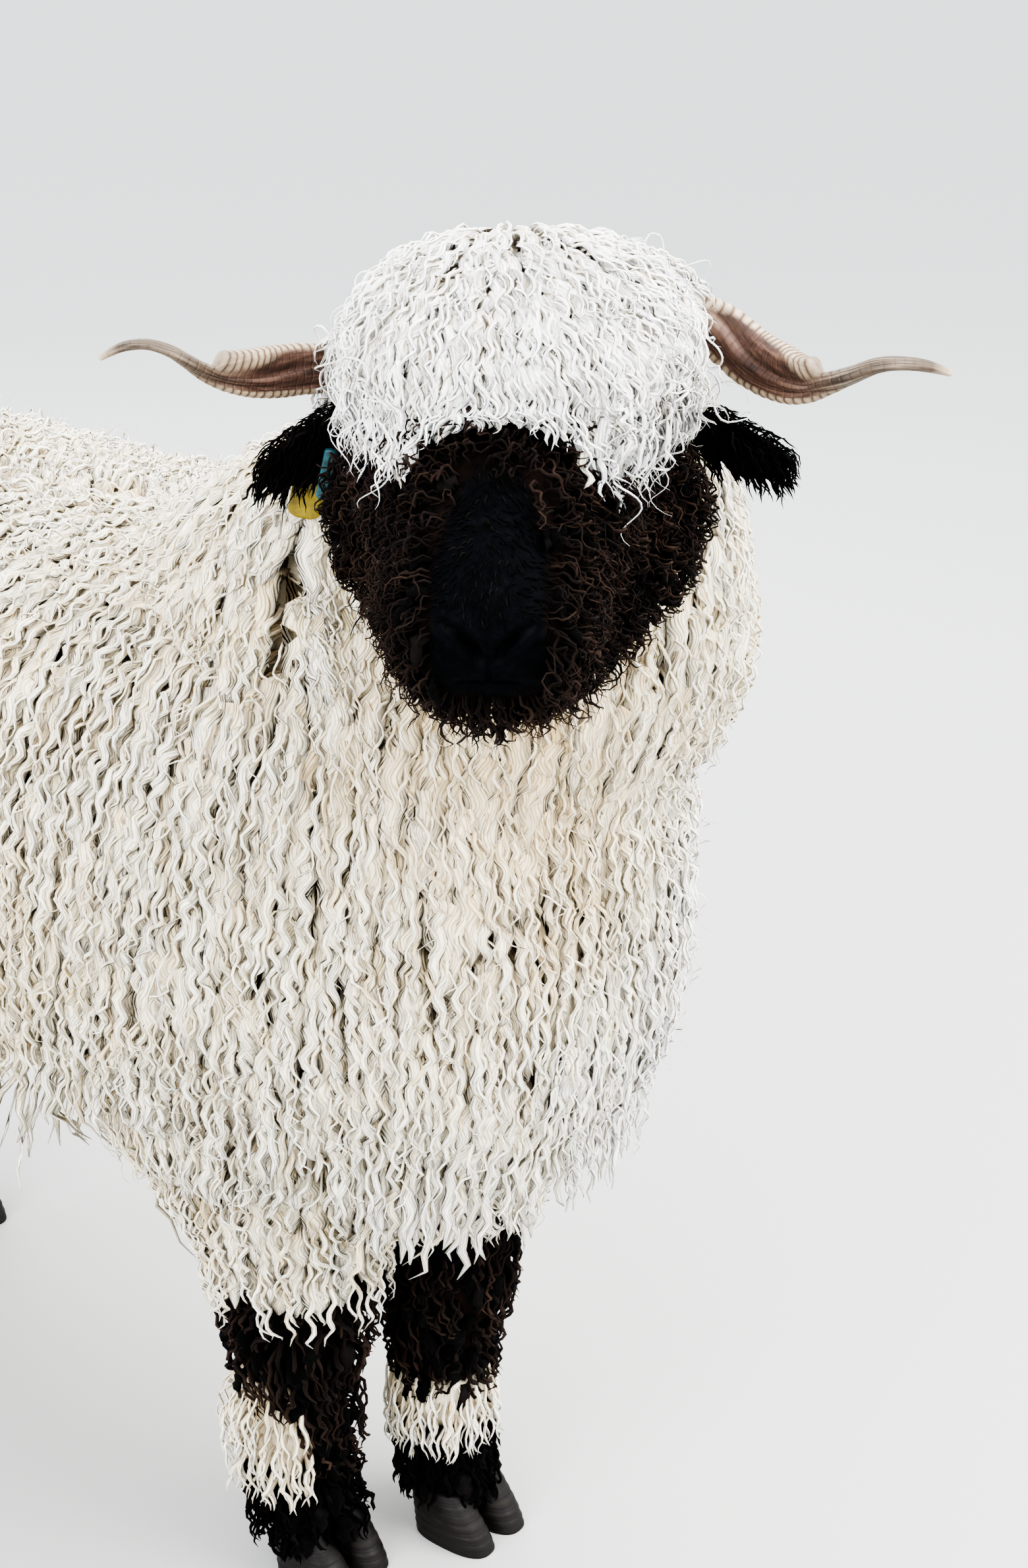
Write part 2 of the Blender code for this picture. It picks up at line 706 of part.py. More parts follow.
def ball(centre, radius, axis, sides=9, rings=4, stretch=1.0):
    """A sphere in the head's frame, as a loft along an axis."""
    along = Vector(axis).normalized()
    across = (Vector((0, 1, 0)) - along * along.y).normalized()
    up = along.cross(across)
    sections = []
    for k in range(rings + 1):
        angle = math.pi * (BALL_END + (1 - 2 * BALL_END) * k / rings)
        size = math.sin(angle) * radius
        middle = Vector(centre) - along * math.cos(angle) * radius
        sections.append(head_ring(middle, across * size * stretch, up * size))
    return sections, sides


def eye(sign):
    return ball(mirrored(EYE_AT, sign), EYE_R, mirrored(EYE_SIGHT, sign))


def lids(sign):
    return ball(mirrored(EYE_AT, sign), LID_R, mirrored(EYE_SIGHT, sign), stretch=LID_STRETCH)


def lid_opening(sign):
    """The almond between the lids, as a wedge that widens along the line of sight."""
    sight = mirrored(EYE_SIGHT, sign).normalized()
    across = (Vector((0, 1, 0)) - sight * sight.y).normalized()
    up = sight.cross(across)
    sections = []
    long, high = LID_OPENING
    for reach, size in LID_WEDGE:
        middle = mirrored(EYE_AT, sign) + sight * LID_R * reach
        sections.append(head_ring(middle, across * long * size, up * high * size, 1.5))
    return sections, LIMB_SIDES


def mouth_points(lift):
    """The mouth's line from corner to corner, raised by `lift`."""
    half = [Vector(p) + Vector((0, 0, lift)) for p in MOUTH]
    return [in_head(p) for p in half] + [in_head(mirrored(p, -1)) for p in reversed(half)]


def mouth_line():
    count = 2 * len(MOUTH)
    return tube(mouth_points(0), [MOUTH_R] * count, 4)


def lip(lift):
    """A soft roll along the mouth, thinner at its corners."""
    count = 2 * len(MOUTH)
    radii = [LIP_R * (0.55 + 0.45 * math.sin(math.pi * k / (count - 1))) for k in range(count)]
    return tube(mouth_points(lift), radii, LIP_SIDES)


def nostril(sign):
    start, end = mirrored(NOSTRIL_IN, sign), mirrored(NOSTRIL_OUT, sign)
    points = [in_head(start.lerp(end, s)) for s in (0, 0.35, 0.75, 1)]
    return tube(points, [r * NOSTRIL_R for r in (0.5, 1.0, 0.9, 0.4)], 6, 0.8)


def ear(sign):
    root, tip = mirrored(EAR_ROOT, sign), EAR_TIP[sign]
    along = (tip - root).normalized()
    face = mirrored(EAR_FACE, sign)
    face = (face - along * face.dot(along)).normalized()
    across = along.cross(face)
    sections = []
    for s, wide in EAR_SHAPE:
        half = EAR_HALF_WIDTH * wide
        thick = EAR_HALF_THICK * (0.55 + 0.45 * wide)
        middle = root.lerp(tip, s) - face * EAR_CUP * half / 2
        sections.append(head_ring(middle, across * half, face * thick, 2.0, face * EAR_CUP / half))
    return sections, SMALL_SIDES


def horn(sign):
    rows = curve_through([[*centre, half, thick] for centre, half, thick in HORN], HORN_STEPS)
    centres = [mirrored(row, sign) for row in rows]
    sections = []
    for index, row in enumerate(rows):
        along = (centres[min(index + 1, len(rows) - 1)] - centres[max(index - 1, 0)]).normalized()
        s = index / (len(rows) - 1)
        upright = (UP - along * along.z).normalized()
        level = along.cross(upright) * sign
        twist = HORN_TWIST[0] * (1 - s) + HORN_TWIST[1] * s
        broad = upright * math.cos(twist) + level * math.sin(twist)
        swell = 1 + (RIB if index % 2 else -RIB) * (1 - s)
        sections.append(
            head_ring(centres[index], broad * row[3] * swell, along.cross(broad) * row[4] * swell, 1.8)
        )
    return sections, HORN_SIDES


def ear_tag(top, end, width):
    """A blank plastic strip on the right ear, between two places in the head's frame."""
    top, end = Vector(top), Vector(end)
    along = (end - top).normalized()
    across = along.cross(Vector((0, 1, 0))).normalized()
    thin = across.cross(along)
    sections = []
    for s, share in ((0, 0.8), (0.12, 1), (0.88, 1), (1, 0.8)):
        sections.append(head_ring(top.lerp(end, s), across * width * share / 2, thin * TAG_THICK, 4.0))
    return sections, SMALL_SIDES


# ---------------------------------------------------------------- the legs
def limb(foot, stations, low, high):
    """The stretch of a leg between two heights, with level ends half a gap inside them."""

    def at(z):
        for (z0, *a), (z1, *b) in zip(stations, stations[1:]):
            if z <= z1:
                t = max(0.0, (z - z0) / (z1 - z0))
                return [p + (q - p) * t for p, q in zip(a, b)]
        return list(stations[-1][1:])

    between = [z for z, *_ in stations if low + MIN_STEP < z < high - MIN_STEP]
    sections = []
    for z in (low + HALF_GAP, *between, high - HALF_GAP):
        back, half, length = at(z)
        x = foot.x * (1 + LEG_LEAN * z / LEG_ROOT)
        sections.append(ring((x, foot.y + back, z), (half, 0, 0), (0, length, 0)))
    return sections, LIMB_SIDES


def puff(foot, stations):
    """The white wool round a shank, fuller than the leg in the middle of its height."""
    sections = []
    for s, swell in PUFF:
        z = FOOT_TOP + HALF_GAP + (SHANK_TOP - FOOT_TOP - GAP) * s
        centre, across, up, power, _ = limb(foot, stations, z - HALF_GAP, SHANK_TOP)[0][0]
        grown = [way * (1 + swell / way.length) for way in (across, up)]
        sections.append(ring(centre, *grown, power))
    return sections, LIMB_SIDES


def claw(foot, side):
    """One half of a hoof: its sole is flat on the ground and its front slopes back."""
    x = foot.x + side * CLAW_OFF
    sections = []
    for z, half, length, y in CLAW:
        sections.append(ring((x, foot.y + y, z), (half, 0, 0), (0, length, 0), CLAW_POWER))
    return sections, SMALL_SIDES


def hoof(foot):
    """Two claws joined by the pad between them."""
    x, y = foot.x, foot.y
    pad = [ring((x, y + 0.006, z), (PAD_HALF, 0, 0), (0, PAD_HALF, 0)) for z in PAD_HEIGHTS]
    return [claw(foot, -1), claw(foot, 1), (pad, 6)]


def dewclaws(foot):
    """Two small horny knobs behind the pastern."""
    made = []
    for side in (-1, 1):
        x = foot.x * (1 + LEG_LEAN * DEWCLAW[0][1] / LEG_ROOT) + side * DEWCLAW_OFF
        points = [(x, foot.y + back, z) for back, z in DEWCLAW]
        made.append(tube(points, DEWCLAW_R, LIP_SIDES))
    return made


# ---------------------------------------------------------------- the lies of the coat
def body_lie(root):
    """From the parting along the spine out and down the flanks, and straight down the chest."""
    if root.y < CHEST_FROM:
        return Vector((math.copysign(0.3, root.x), 0.05, -1.0))
    return Vector((math.copysign(0.9, root.x), 0.22, -1.0))


def hanging(root):
    return DOWN


def crown_lie(root):
    """Out over the head from the crown."""
    return (root - in_head(CROWN)).normalized() + DOWN * 0.5


def neck_lie(root):
    """Down the neck and out to its sides."""
    return Vector((math.copysign(0.45, root.x), -0.10, -1.0))


def cheek_lie(root):
    """Away from the bridge of the nose, and down."""
    side = (HEAD_FRAME.inverted() @ root).x
    return head_way((math.copysign(0.6, side), 0.2, -0.7))


def fringe_hem(root):
    """The height that the forelock's tips reach down to, lower at the sides than over the brow."""
    return HEAD_AT.z + FRINGE_RISE - FRINGE_FALL * abs((HEAD_FRAME.inverted() @ root).x)


def neck_hem(root):
    """How low a lock of the neck may reach before the plane that parts the neck from the torso."""
    fall = -neck_lie(root).normalized().dot(NECK_CUT_NORMAL)
    return root.z - (root - NECK_CUT_AT).dot(NECK_CUT_NORMAL) / max(fall, 0.1)


def body_hem(root):
    """The height that the tips of the body's wool reach down to, with the tips a little behind the root."""
    foot = FORE_RIGHT if root.x < 0 else FORE_LEFT
    if root.y + HEM_DRIFT < foot.y - LEG_FRONT:
        return BRISKET_HEM
    if root.y < foot.y + LEG_BACK:
        return LEG_HEM
    return THIGH_HEM if root.y + HEM_DRIFT > HIND_FRONT else BELLY_HEM


# ---------------------------------------------------------------- the whole sheep
# Each leg's foot, its stations, the top of its black joint, where it is parted from the torso, and the
# height that the tips of its sleeve of wool reach down to
LEGS = {
    "foreleg_right": (FORE_RIGHT, FORELEG, KNEE_TOP, FORE_SPLIT, 0.212),
    "foreleg_left": (FORE_LEFT, FORELEG, KNEE_TOP, FORE_SPLIT, 0.235),
    "hindleg_right": (HIND_RIGHT, HINDLEG, HOCK_TOP, HIND_SPLIT, 0.240),
    "hindleg_left": (HIND_LEFT, HINDLEG, HOCK_TOP, HIND_SPLIT, 0.240),
}
SIDES = {"left": 1, "right": -1}


def face_wool(skull):
    """Curls over the jowls, the cheeks and the brow, clear of the eyes, the ears and the bare muzzle."""

    def keep(place, out):
        at = HEAD_FRAME.inverted() @ place
        mirror = Vector((abs(at.x), at.y, at.z))
        bare = at.y < BRIDGE_FROM and at.z > BRIDGE_OVER or at.y < BARE_FROM
        open_eye = (mirror - EYE_AT).length < EYE_CLEAR
        under_cap = at.z > CAP_OVER or at.y > CAP_BEHIND
        near_ear = (mirror - EAR_ROOT).length < EAR_CLEAR
        return not (bare or open_eye or under_cap or near_ear)

    return clumps(Surface(skull), 3, cheek_lie, keep, FACE_CLUMP)


def build_head():
    """The head with its eyes, ears and horns; returns what cuts the wool clear of them."""
    skull = [head_core(), beard_core()]
    curls = face_wool(skull)
    skull += [lip(LIP_RISE), lip(-LIP_RISE)] + [lids(sign) for sign in SIDES.values()]
    head = fuse("head", skull + curls)
    carve(head, [lid_opening(sign) for sign in SIDES.values()], 0)
    carve(head, [eye(sign) for sign in SIDES.values()])
    carve(head, [mouth_line()], 0)
    carve(head, [nostril(sign) for sign in SIDES.values()], 0)
    finish_node(head, "head", BLACK)
    covered = skull + curls
    for name, sign in SIDES.items():
        finish_node(fuse("eye", [eye(sign)]), f"eye_{name}", EYE_COLOUR, 0.15)
        for kind, made, colour in (("ear", ear(sign), BLACK), ("horn", horn(sign), HORN_COLOUR)):
            node = fuse(kind, [made])
            carve(node, skull + curls)
            if kind == "ear":
                carve(node, [horn(sign)])
            finish_node(node, f"{kind}_{name}", colour, 0.6)
            covered.append(made)
    return covered


def build_tags(covered):
    for name, (top, end, width, colour) in TAGS.items():
        strip = ear_tag(top, end, width)
        tag = fuse("tag", [strip])
        carve(tag, [ear(-1)])
        finish_node(tag, f"ear_tag_{name}", colour, 0.4)
        covered.append(strip)


def fringe(surface):
    """A row of locks that fall over the brow."""
    rng = random.Random(7)
    locks = []
    for x in FRINGE_AT:
        root, out = surface.met(in_head((x, FRINGE_Y, 1)), head_way((0, 0, -1)))
        lie = head_way((x * FRINGE_LIE[0], *FRINGE_LIE[1:]))
        length = FRINGE_LENGTH * rng.uniform(0.9, 1.1)
        width = FORELOCK_LOCK["width"] * rng.uniform(0.8, 0.95)
        lift = FORELOCK_LOCK["lift"] * rng.uniform(0.8, 1.1)
        locks.append(lock(surface, root, out, lie, length, width, lift, FORELOCK_LOCK, rng))
    return locks


def build_forelock(covered):
    """The cap of wool on the skull and the locks that fall from it over brow and ears."""
    cap = cap_core()

    def keep(place, out):
        at = HEAD_FRAME.inverted() @ place
        return FRINGE_BEHIND < at.y < POLL and at.z > CAP_HEM

    over = Surface([cap, head_core()])
    pieces = [cap] + fringe(over) + coat(over, 5, crown_lie, keep, fringe_hem, FORELOCK_LOCK)
    forelock = fuse("forelock", pieces)
    carve(forelock, covered)
    finish_node(forelock, "forelock", WHITE)
    covered += pieces


def build_tail(covered):
    core = tail_core()

    def keep(place, out):
        return place.y > TAIL_FREE and out.z < 0.6

    pieces = [core] + coat(Surface([core]), 11, hanging, keep, lambda root: TAIL_TIP, TAIL_LOCK)
    finish_node(fuse("tail", pieces), "tail", WHITE)
    covered += pieces


def build_lower_legs(covered):
    """The black and white lower legs and the hooves."""
    earlier = []
    for name, (foot, stations, black_top, _, _) in LEGS.items():
        joint = "hock" if stations is HINDLEG else "knee"
        finish_node(fuse("hoof", hoof(foot)), f"{name}_hoof", HOOF_COLOUR, 0.5)
        pastern = [limb(foot, stations, HOOF_TOP, FOOT_TOP), *dewclaws(foot)]
        finish_node(fuse("foot", pastern), f"{name}_foot", BLACK)
        bend = [limb(foot, stations, SHANK_TOP, black_top)]
        finish_node(fuse(joint, bend), f"{name}_{joint}", BLACK)
        band = puff(foot, stations)
        tufts = coat(
            Surface([band]), 23, hanging, lambda place, out: abs(out.z) < 0.5, lambda root: TUFT_TIP, SHANK_LOCK
        )
        shank = fuse("shank", [band, *tufts])
        carve(shank, pastern + bend + earlier)
        earlier += [band, *tufts]
        finish_node(shank, f"{name}_shank", WHITE)
        covered += bend


def collar(surface):
    """Roots in a row round the neck, just behind the plane that parts it from the torso."""
    start = NECK_CUT_AT - NECK_CUT_NORMAL * COLLAR_BACK
    across = NECK_CUT_NORMAL.cross(UP).normalized()
    up = across.cross(NECK_CUT_NORMAL).normalized()
    roots = []
    for k in range(COLLAR_COUNT):
        angle = 2 * math.pi * (k + 0.5) / COLLAR_COUNT
        way = across * math.cos(angle) + up * math.sin(angle)
        roots.append(surface.met(start + way, -way))
    return roots


def torso_rows(surface):
    """Roots in rows round the barrel, each row set between the places of the one above it."""
    rng = random.Random(29)
    aims = []
    for level, (height, rise) in enumerate(ROWS):
        offset = ROW_STEP / 2 * (level % 2)
        count = int((BARREL_END - BARREL_FRONT) / ROW_STEP) + 1
        for side in (-1, 1):
            for k in range(count):
                y = BARREL_FRONT + offset + k * ROW_STEP + rng.uniform(-ROW_JITTER, ROW_JITTER)
                aims.append((Vector((0, y, height)), Vector((side, 0, rise))))
        for k in range(FAN_COUNT):
            angle = math.pi * (k + 0.5 + FAN_STAGGER * (level % 2)) / FAN_COUNT
            aims.append((Vector((0, BARREL_FRONT, height)), Vector((math.cos(angle), -math.sin(angle), rise))))
            aims.append((Vector((0, BARREL_END, height)), Vector((math.cos(angle), math.sin(angle), rise))))
    return [surface.met(start + way.normalized(), -way.normalized()) for start, way in aims]


def body_wool(trunk):
    """The long locks of the trunk and the neck, and those of the upper legs."""

    def above_cut(place):
        return (place - NECK_CUT_AT).dot(NECK_CUT_NORMAL) + COLLAR_BACK / 2

    def on_torso(place, out):
        return out.z > -0.35 and above_cut(place) < 0

    def on_neck(place, out):
        return above_cut(place) > COLLAR_BACK and place.z < NAPE

    body = Surface(trunk)
    first = collar(body)
    for root, out in torso_rows(body):
        near = min((root - other).length for other, _ in first)
        if on_torso(root, out) and near > ROW_LEAST:
            first.append((root, out))
    locks = coat(body, 31, body_lie, on_torso, body_hem, TORSO_LOCK, first)
    locks += coat(body, 37, neck_lie, on_neck, neck_hem, NECK_LOCK)
    for foot, stations, black_top, top, tip in LEGS.values():
        leg = Surface([limb(foot, stations, SHANK_TOP, LEG_ROOT)])
        locks += coat(
            leg, 41, hanging, lambda place, out: black_top + 0.010 < place.z < top - 0.012,
            lambda root: tip, SLEEVE_LOCK,
        )
    return locks


def build_white(covered):
    """Torso, neck and upper legs, made as one and then parted."""
    uppers = [limb(foot, stations, low, LEG_ROOT) for foot, stations, low, _, _ in LEGS.values()]
    trunk = [torso_core(), neck_core()]
    white = fuse("white", trunk + uppers + body_wool(trunk + uppers))
    carve(white, covered)
    for name, (foot, stations, _, top, _) in LEGS.items():
        near, far = (0, REACH) if foot.x > 0 else (-REACH, 0)
        front = HIND_FRONT if stations is HINDLEG else foot.y - LEG_FRONT
        back = foot.y + LEG_BACK
        upper = part_off(white, (near, front, 0), (far, back, top))
        finish_node(upper, f"{name}_upper", WHITE)
    tilt = NECK_CUT_NORMAL.to_track_quat("Z", "Y").to_matrix().to_4x4()
    frame = Matrix.Translation(NECK_CUT_AT) @ tilt
    neck = part_off(white, (-REACH, -REACH, 0), (REACH, REACH, REACH), frame)
    finish_node(neck, "neck", WHITE)
    finish_node(white, "torso", WHITE)


def shift_to_origin():
    """Moves everything so that the footprint's middle is at the origin."""
    things = [thing for thing in bpy.data.objects if thing.type == "MESH"]
    corners = [v.co for thing in things for v in thing.data.vertices]
    low = [min(c[axis] for c in corners) for axis in range(3)]
    high = [max(c[axis] for c in corners) for axis in range(3)]
    shift = Vector((-(low[0] + high[0]) / 2, -(low[1] + high[1]) / 2, -low[2]))
    print("shift", tuple(round(value, 5) for value in shift))
    for thing in things:
        thing.data.transform(Matrix.Translation(shift))


def main():
    for thing in list(bpy.data.objects):
        bpy.data.objects.remove(thing)
    covered = build_head()
    build_tags(covered)
    build_forelock(covered)
    build_tail(covered)
    build_lower_legs(covered)
    build_white(covered)
    shift_to_origin()


main()
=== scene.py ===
"""Looks of the Valais Blacknose sheep: one skin, a fleece of wavy locks, curls, horns, eyes, hooves and tags.

Metres. Shapes are laid out in the sheep's own frame, which is the row frame moved by -SHIFT: the spine lies
in the plane X = 0, the face end towards -Y and the sheep's left at +X. The head has a frame of its own,
turned and lowered.
"""

import itertools
import json
import math

import bmesh
import bpy
import numpy as np
from mathutils import Matrix, Vector, noise
from mathutils.bvhtree import BVHTree

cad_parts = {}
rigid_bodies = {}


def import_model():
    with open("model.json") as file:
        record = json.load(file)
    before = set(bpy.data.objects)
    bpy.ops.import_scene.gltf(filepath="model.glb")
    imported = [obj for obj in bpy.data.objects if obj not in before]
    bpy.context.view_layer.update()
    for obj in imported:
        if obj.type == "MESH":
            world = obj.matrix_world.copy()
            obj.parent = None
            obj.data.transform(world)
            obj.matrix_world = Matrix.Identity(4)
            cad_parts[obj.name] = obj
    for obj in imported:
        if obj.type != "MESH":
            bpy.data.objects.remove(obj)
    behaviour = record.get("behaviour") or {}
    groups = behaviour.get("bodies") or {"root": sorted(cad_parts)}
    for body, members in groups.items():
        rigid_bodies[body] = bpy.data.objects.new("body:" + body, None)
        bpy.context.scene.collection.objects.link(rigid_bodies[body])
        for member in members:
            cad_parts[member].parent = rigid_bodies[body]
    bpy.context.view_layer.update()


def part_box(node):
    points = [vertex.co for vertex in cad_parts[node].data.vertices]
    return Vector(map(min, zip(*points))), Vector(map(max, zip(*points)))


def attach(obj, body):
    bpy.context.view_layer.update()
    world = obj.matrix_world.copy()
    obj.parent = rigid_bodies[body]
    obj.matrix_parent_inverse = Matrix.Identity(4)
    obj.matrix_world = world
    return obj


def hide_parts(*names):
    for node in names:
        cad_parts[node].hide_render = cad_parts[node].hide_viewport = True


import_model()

# ---------------------------------------------------------------- sizes
FORE_RIGHT = Vector((-0.060, -0.276, 0))
FORE_LEFT = Vector((0.032, -0.322, 0))
HIND_RIGHT = Vector((-0.088, 0.318, 0))
HIND_LEFT = Vector((0.088, 0.282, 0))
HOOF_FRONT = 0.045                   # how far a hoof's toe reaches before its foot's place
HOOF_HALF = 0.0313                   # half a hoof's width


def frame_shift():
    """From the sheep's own frame to the row frame, read from where a hoof is."""
    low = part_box("foreleg_left_hoof")[0]
    return Vector((low.x - FORE_LEFT.x + HOOF_HALF, low.y - FORE_LEFT.y + HOOF_FRONT, 0))


SHIFT = frame_shift()
HEAD_AT = Vector((-0.104, -0.476, 0.8175))
HEAD_TURN = math.radians(55)
HEAD_NOD = math.radians(22)
HEAD_FRAME = (
    Matrix.Translation(HEAD_AT) @ Matrix.Rotation(-HEAD_TURN, 4, "Z") @ Matrix.Rotation(HEAD_NOD, 4, "X")
)
HEAD_TURNED = np.array(HEAD_FRAME.to_3x3())
UP = Vector((0, 0, 1))
LEFT = Vector((1, 0, 0))
DOWN = np.array((0.0, 0.0, -1.0))

# Stations of the barrel: y, top, bottom, half width
TORSO = (
    (0.455, 0.600, 0.520, 0.045), (0.440, 0.650, 0.470, 0.115), (0.395, 0.684, 0.430, 0.180),
    (0.300, 0.693, 0.405, 0.222), (0.150, 0.684, 0.385, 0.240), (0.000, 0.678, 0.374, 0.238),
    (-0.130, 0.688, 0.370, 0.222), (-0.240, 0.700, 0.364, 0.204), (-0.340, 0.698, 0.352, 0.174),
    (-0.398, 0.668, 0.346, 0.138), (-0.434, 0.622, 0.374, 0.099), (-0.453, 0.560, 0.440, 0.046),
)
# Stations of the neck: x, y, z, half width, half depth
NECK = (
    (0.000, -0.190, 0.560, 0.130, 0.120), (0.004, -0.285, 0.630, 0.138, 0.126),
    (0.030, -0.378, 0.680, 0.160, 0.120), (-0.004, -0.414, 0.757, 0.098, 0.084),
    (-0.036, -0.432, 0.806, 0.082, 0.068),
)
# Stations in the head's frame: y, half width, top, bottom
HEAD = (
    (0.080, 0.045, 0.042, -0.035), (0.058, 0.060, 0.064, -0.060), (0.028, 0.068, 0.071, -0.077),
    (0.000, 0.071, 0.070, -0.081), (-0.028, 0.069, 0.063, -0.084), (-0.056, 0.062, 0.054, -0.083),
    (-0.084, 0.053, 0.044, -0.079), (-0.110, 0.046, 0.035, -0.073), (-0.132, 0.042, 0.028, -0.063),
    (-0.149, 0.038, 0.020, -0.053), (-0.161, 0.031, 0.010, -0.041), (-0.167, 0.017, -0.003, -0.028),
)
BEARD = (
    (0.050, 0.060, -0.010, -0.064), (0.020, 0.091, 0.005, -0.085), (-0.015, 0.093, -0.005, -0.090),
    (-0.050, 0.074, -0.020, -0.090), (-0.085, 0.052, -0.035, -0.086), (-0.112, 0.031, -0.048, -0.078),
)
BEARD_SHIFT = 0.004                  # the cheeks' wool stands out more on the left
CAP = (
    (0.088, 0.036, 0.050, -0.010), (0.070, 0.062, 0.071, -0.020), (0.040, 0.078, 0.085, -0.010),
    (0.005, 0.081, 0.084, 0.018), (-0.025, 0.071, 0.076, 0.034), (-0.052, 0.050, 0.064, 0.040),
)
CAP_SHIFT = 0.009                    # the forelock falls a little more to the left
CROWN = Vector((0, 0.080, 0.062))
EYE_AT = Vector((0.0590, -0.006, 0.026))
EYE_SIGHT = Vector((1.0, -0.30, 0.05))
EYE_R = 0.0135
EYE_GAP = 0.0002                     # between the eyeball and the size of the solid
CORNEA = 0.0006
PUPIL = (0.42, 0.15)                 # half length and half height, in eye radii
IRIS = 0.62
LID_R = 0.0165
LID_OPENING = (0.0145, 0.0080)       # half length and half height of the almond between the lids
EAR_ROOT = Vector((0.062, 0.034, 0.004))
EAR_TIP = {1: Vector((0.154, 0.046, -0.056)), -1: Vector((-0.140, 0.042, -0.067))}
EAR_FACE = Vector((0.15, -0.86, -0.42))
EAR_HALF_WIDTH = 0.0190
EAR_HALF_THICK = 0.0040
EAR_CUP = 0.55
EAR_SHAPE = (
    (-0.12, 0.42), (0.10, 0.55), (0.30, 0.84), (0.52, 1.0), (0.76, 0.92), (0.90, 0.64), (0.96, 0.25),
)
# Stations of each horn in the head's frame: x outwards, y, z, half width, half thickness
HORN = {
    1: (
        (0.037, 0.036, 0.049, 0.0121, 0.0097), (0.053, 0.056, 0.055, 0.0122, 0.0091),
        (0.071, 0.072, 0.040, 0.0120, 0.0087), (0.088, 0.080, 0.024, 0.0150, 0.0108),
        (0.108, 0.078, 0.012, 0.0157, 0.0113), (0.126, 0.068, -0.000, 0.0157, 0.0110),
        (0.142, 0.052, -0.001, 0.0128, 0.0092), (0.154, 0.038, 0.005, 0.0093, 0.0069),
        (0.165, 0.030, 0.014, 0.0071, 0.0057), (0.177, 0.026, 0.022, 0.0057, 0.0046),
        (0.189, 0.024, 0.029, 0.0050, 0.0040), (0.201, 0.026, 0.029, 0.0045, 0.0036),
        (0.214, 0.030, 0.025, 0.0039, 0.0031), (0.227, 0.035, 0.018, 0.0025, 0.0020),
    ),
    -1: (
        (0.027, 0.036, 0.048, 0.0121, 0.0097), (0.045, 0.056, 0.051, 0.0123, 0.0092),
        (0.061, 0.072, 0.026, 0.0122, 0.0088), (0.077, 0.080, 0.001, 0.0128, 0.0092),
        (0.098, 0.078, -0.013, 0.0128, 0.0092), (0.117, 0.068, -0.011, 0.0124, 0.0089),
        (0.133, 0.052, -0.004, 0.0102, 0.0073), (0.146, 0.038, 0.006, 0.0076, 0.0057),
        (0.157, 0.030, 0.016, 0.0058, 0.0047), (0.166, 0.026, 0.026, 0.0046, 0.0037),
        (0.175, 0.024, 0.034, 0.0039, 0.0031), (0.186, 0.026, 0.036, 0.0036, 0.0028),
        (0.199, 0.030, 0.032, 0.0032, 0.0026), (0.213, 0.035, 0.022, 0.0021, 0.0016),
    ),
}
HORN_BARE = {1: 3, -1: 4}            # the station from which the wool leaves each horn free
HORN_ROOT = (1.0, 1.05, 1.0, 0.90, 0.55)
HORN_STEPS = 20
HORN_SIDES = 44
HORN_TWIST = (math.radians(20), math.radians(90))
HORN_RIB = 0.0052                    # from one rib of a horn to the next
RIB_HEIGHT = 0.0007
# The ledge along the top of each horn and the hollow in front of it: station, height or depth
LEDGE = ((2.5, 0.0), (3.5, 0.004), (5.0, 0.009), (6.0, 0.0115), (7.0, 0.0105), (7.72, 0.009), (7.88, 0.0))
HOLLOW = ((3.0, 0.0), (4.5, 0.0035), (7.4, 0.0042), (8.8, 0.0))
LEDGE_WAY = Vector((0, 0.25, 0.97))
HOLLOW_WAY = Vector((0, -0.85, 0.52))
# The mouth's line from its left corner to the middle of the lips, and the nostrils
MOUTH = (
    (0.0450, -0.102, -0.052), (0.0430, -0.122, -0.045), (0.0380, -0.140, -0.037),
    (0.0270, -0.156, -0.030), (0.0120, -0.1655, -0.0265), (0.0, -0.1675, -0.026),
)
NOSTRIL = (
    (0.0042, -0.1685, -0.0115), (0.0078, -0.1670, -0.0045), (0.0140, -0.1635, 0.0), (0.0205, -0.1585, 0.0025),
)
NOSTRIL_DEPTH, MOUTH_DEPTH, LIP_HEIGHT, GROOVE_DEPTH = 0.0070, 0.0040, 0.0010, 0.0018
EYE_ROOM = 0.014
SOCKET = 0.0030                      # how deep the skin lies under the eyeball's front
LID_RIM = 0.0008
TAGS = {
    "yellow": ((-0.1085, 0.048, -0.0530), (-0.1165, 0.044, -0.0860), 0.018),
    "teal": ((-0.0940, 0.024, -0.0270), (-0.1020, 0.026, -0.0600), 0.0078),
}
TAG_THICK = 0.0016
HOOF_TOP = 0.036
FOOT_TOP = 0.092
SHANK_TOP = 0.160
KNEE_TOP = 0.262
LEFT_BLACK = (0.130, 0.280)          # the left foreleg is black from lower down to higher up
BETWEEN_LEGS = -0.014
HOCK_TOP = 0.300
LEG_ROOT = 0.500
LEG_LEAN = 0.25
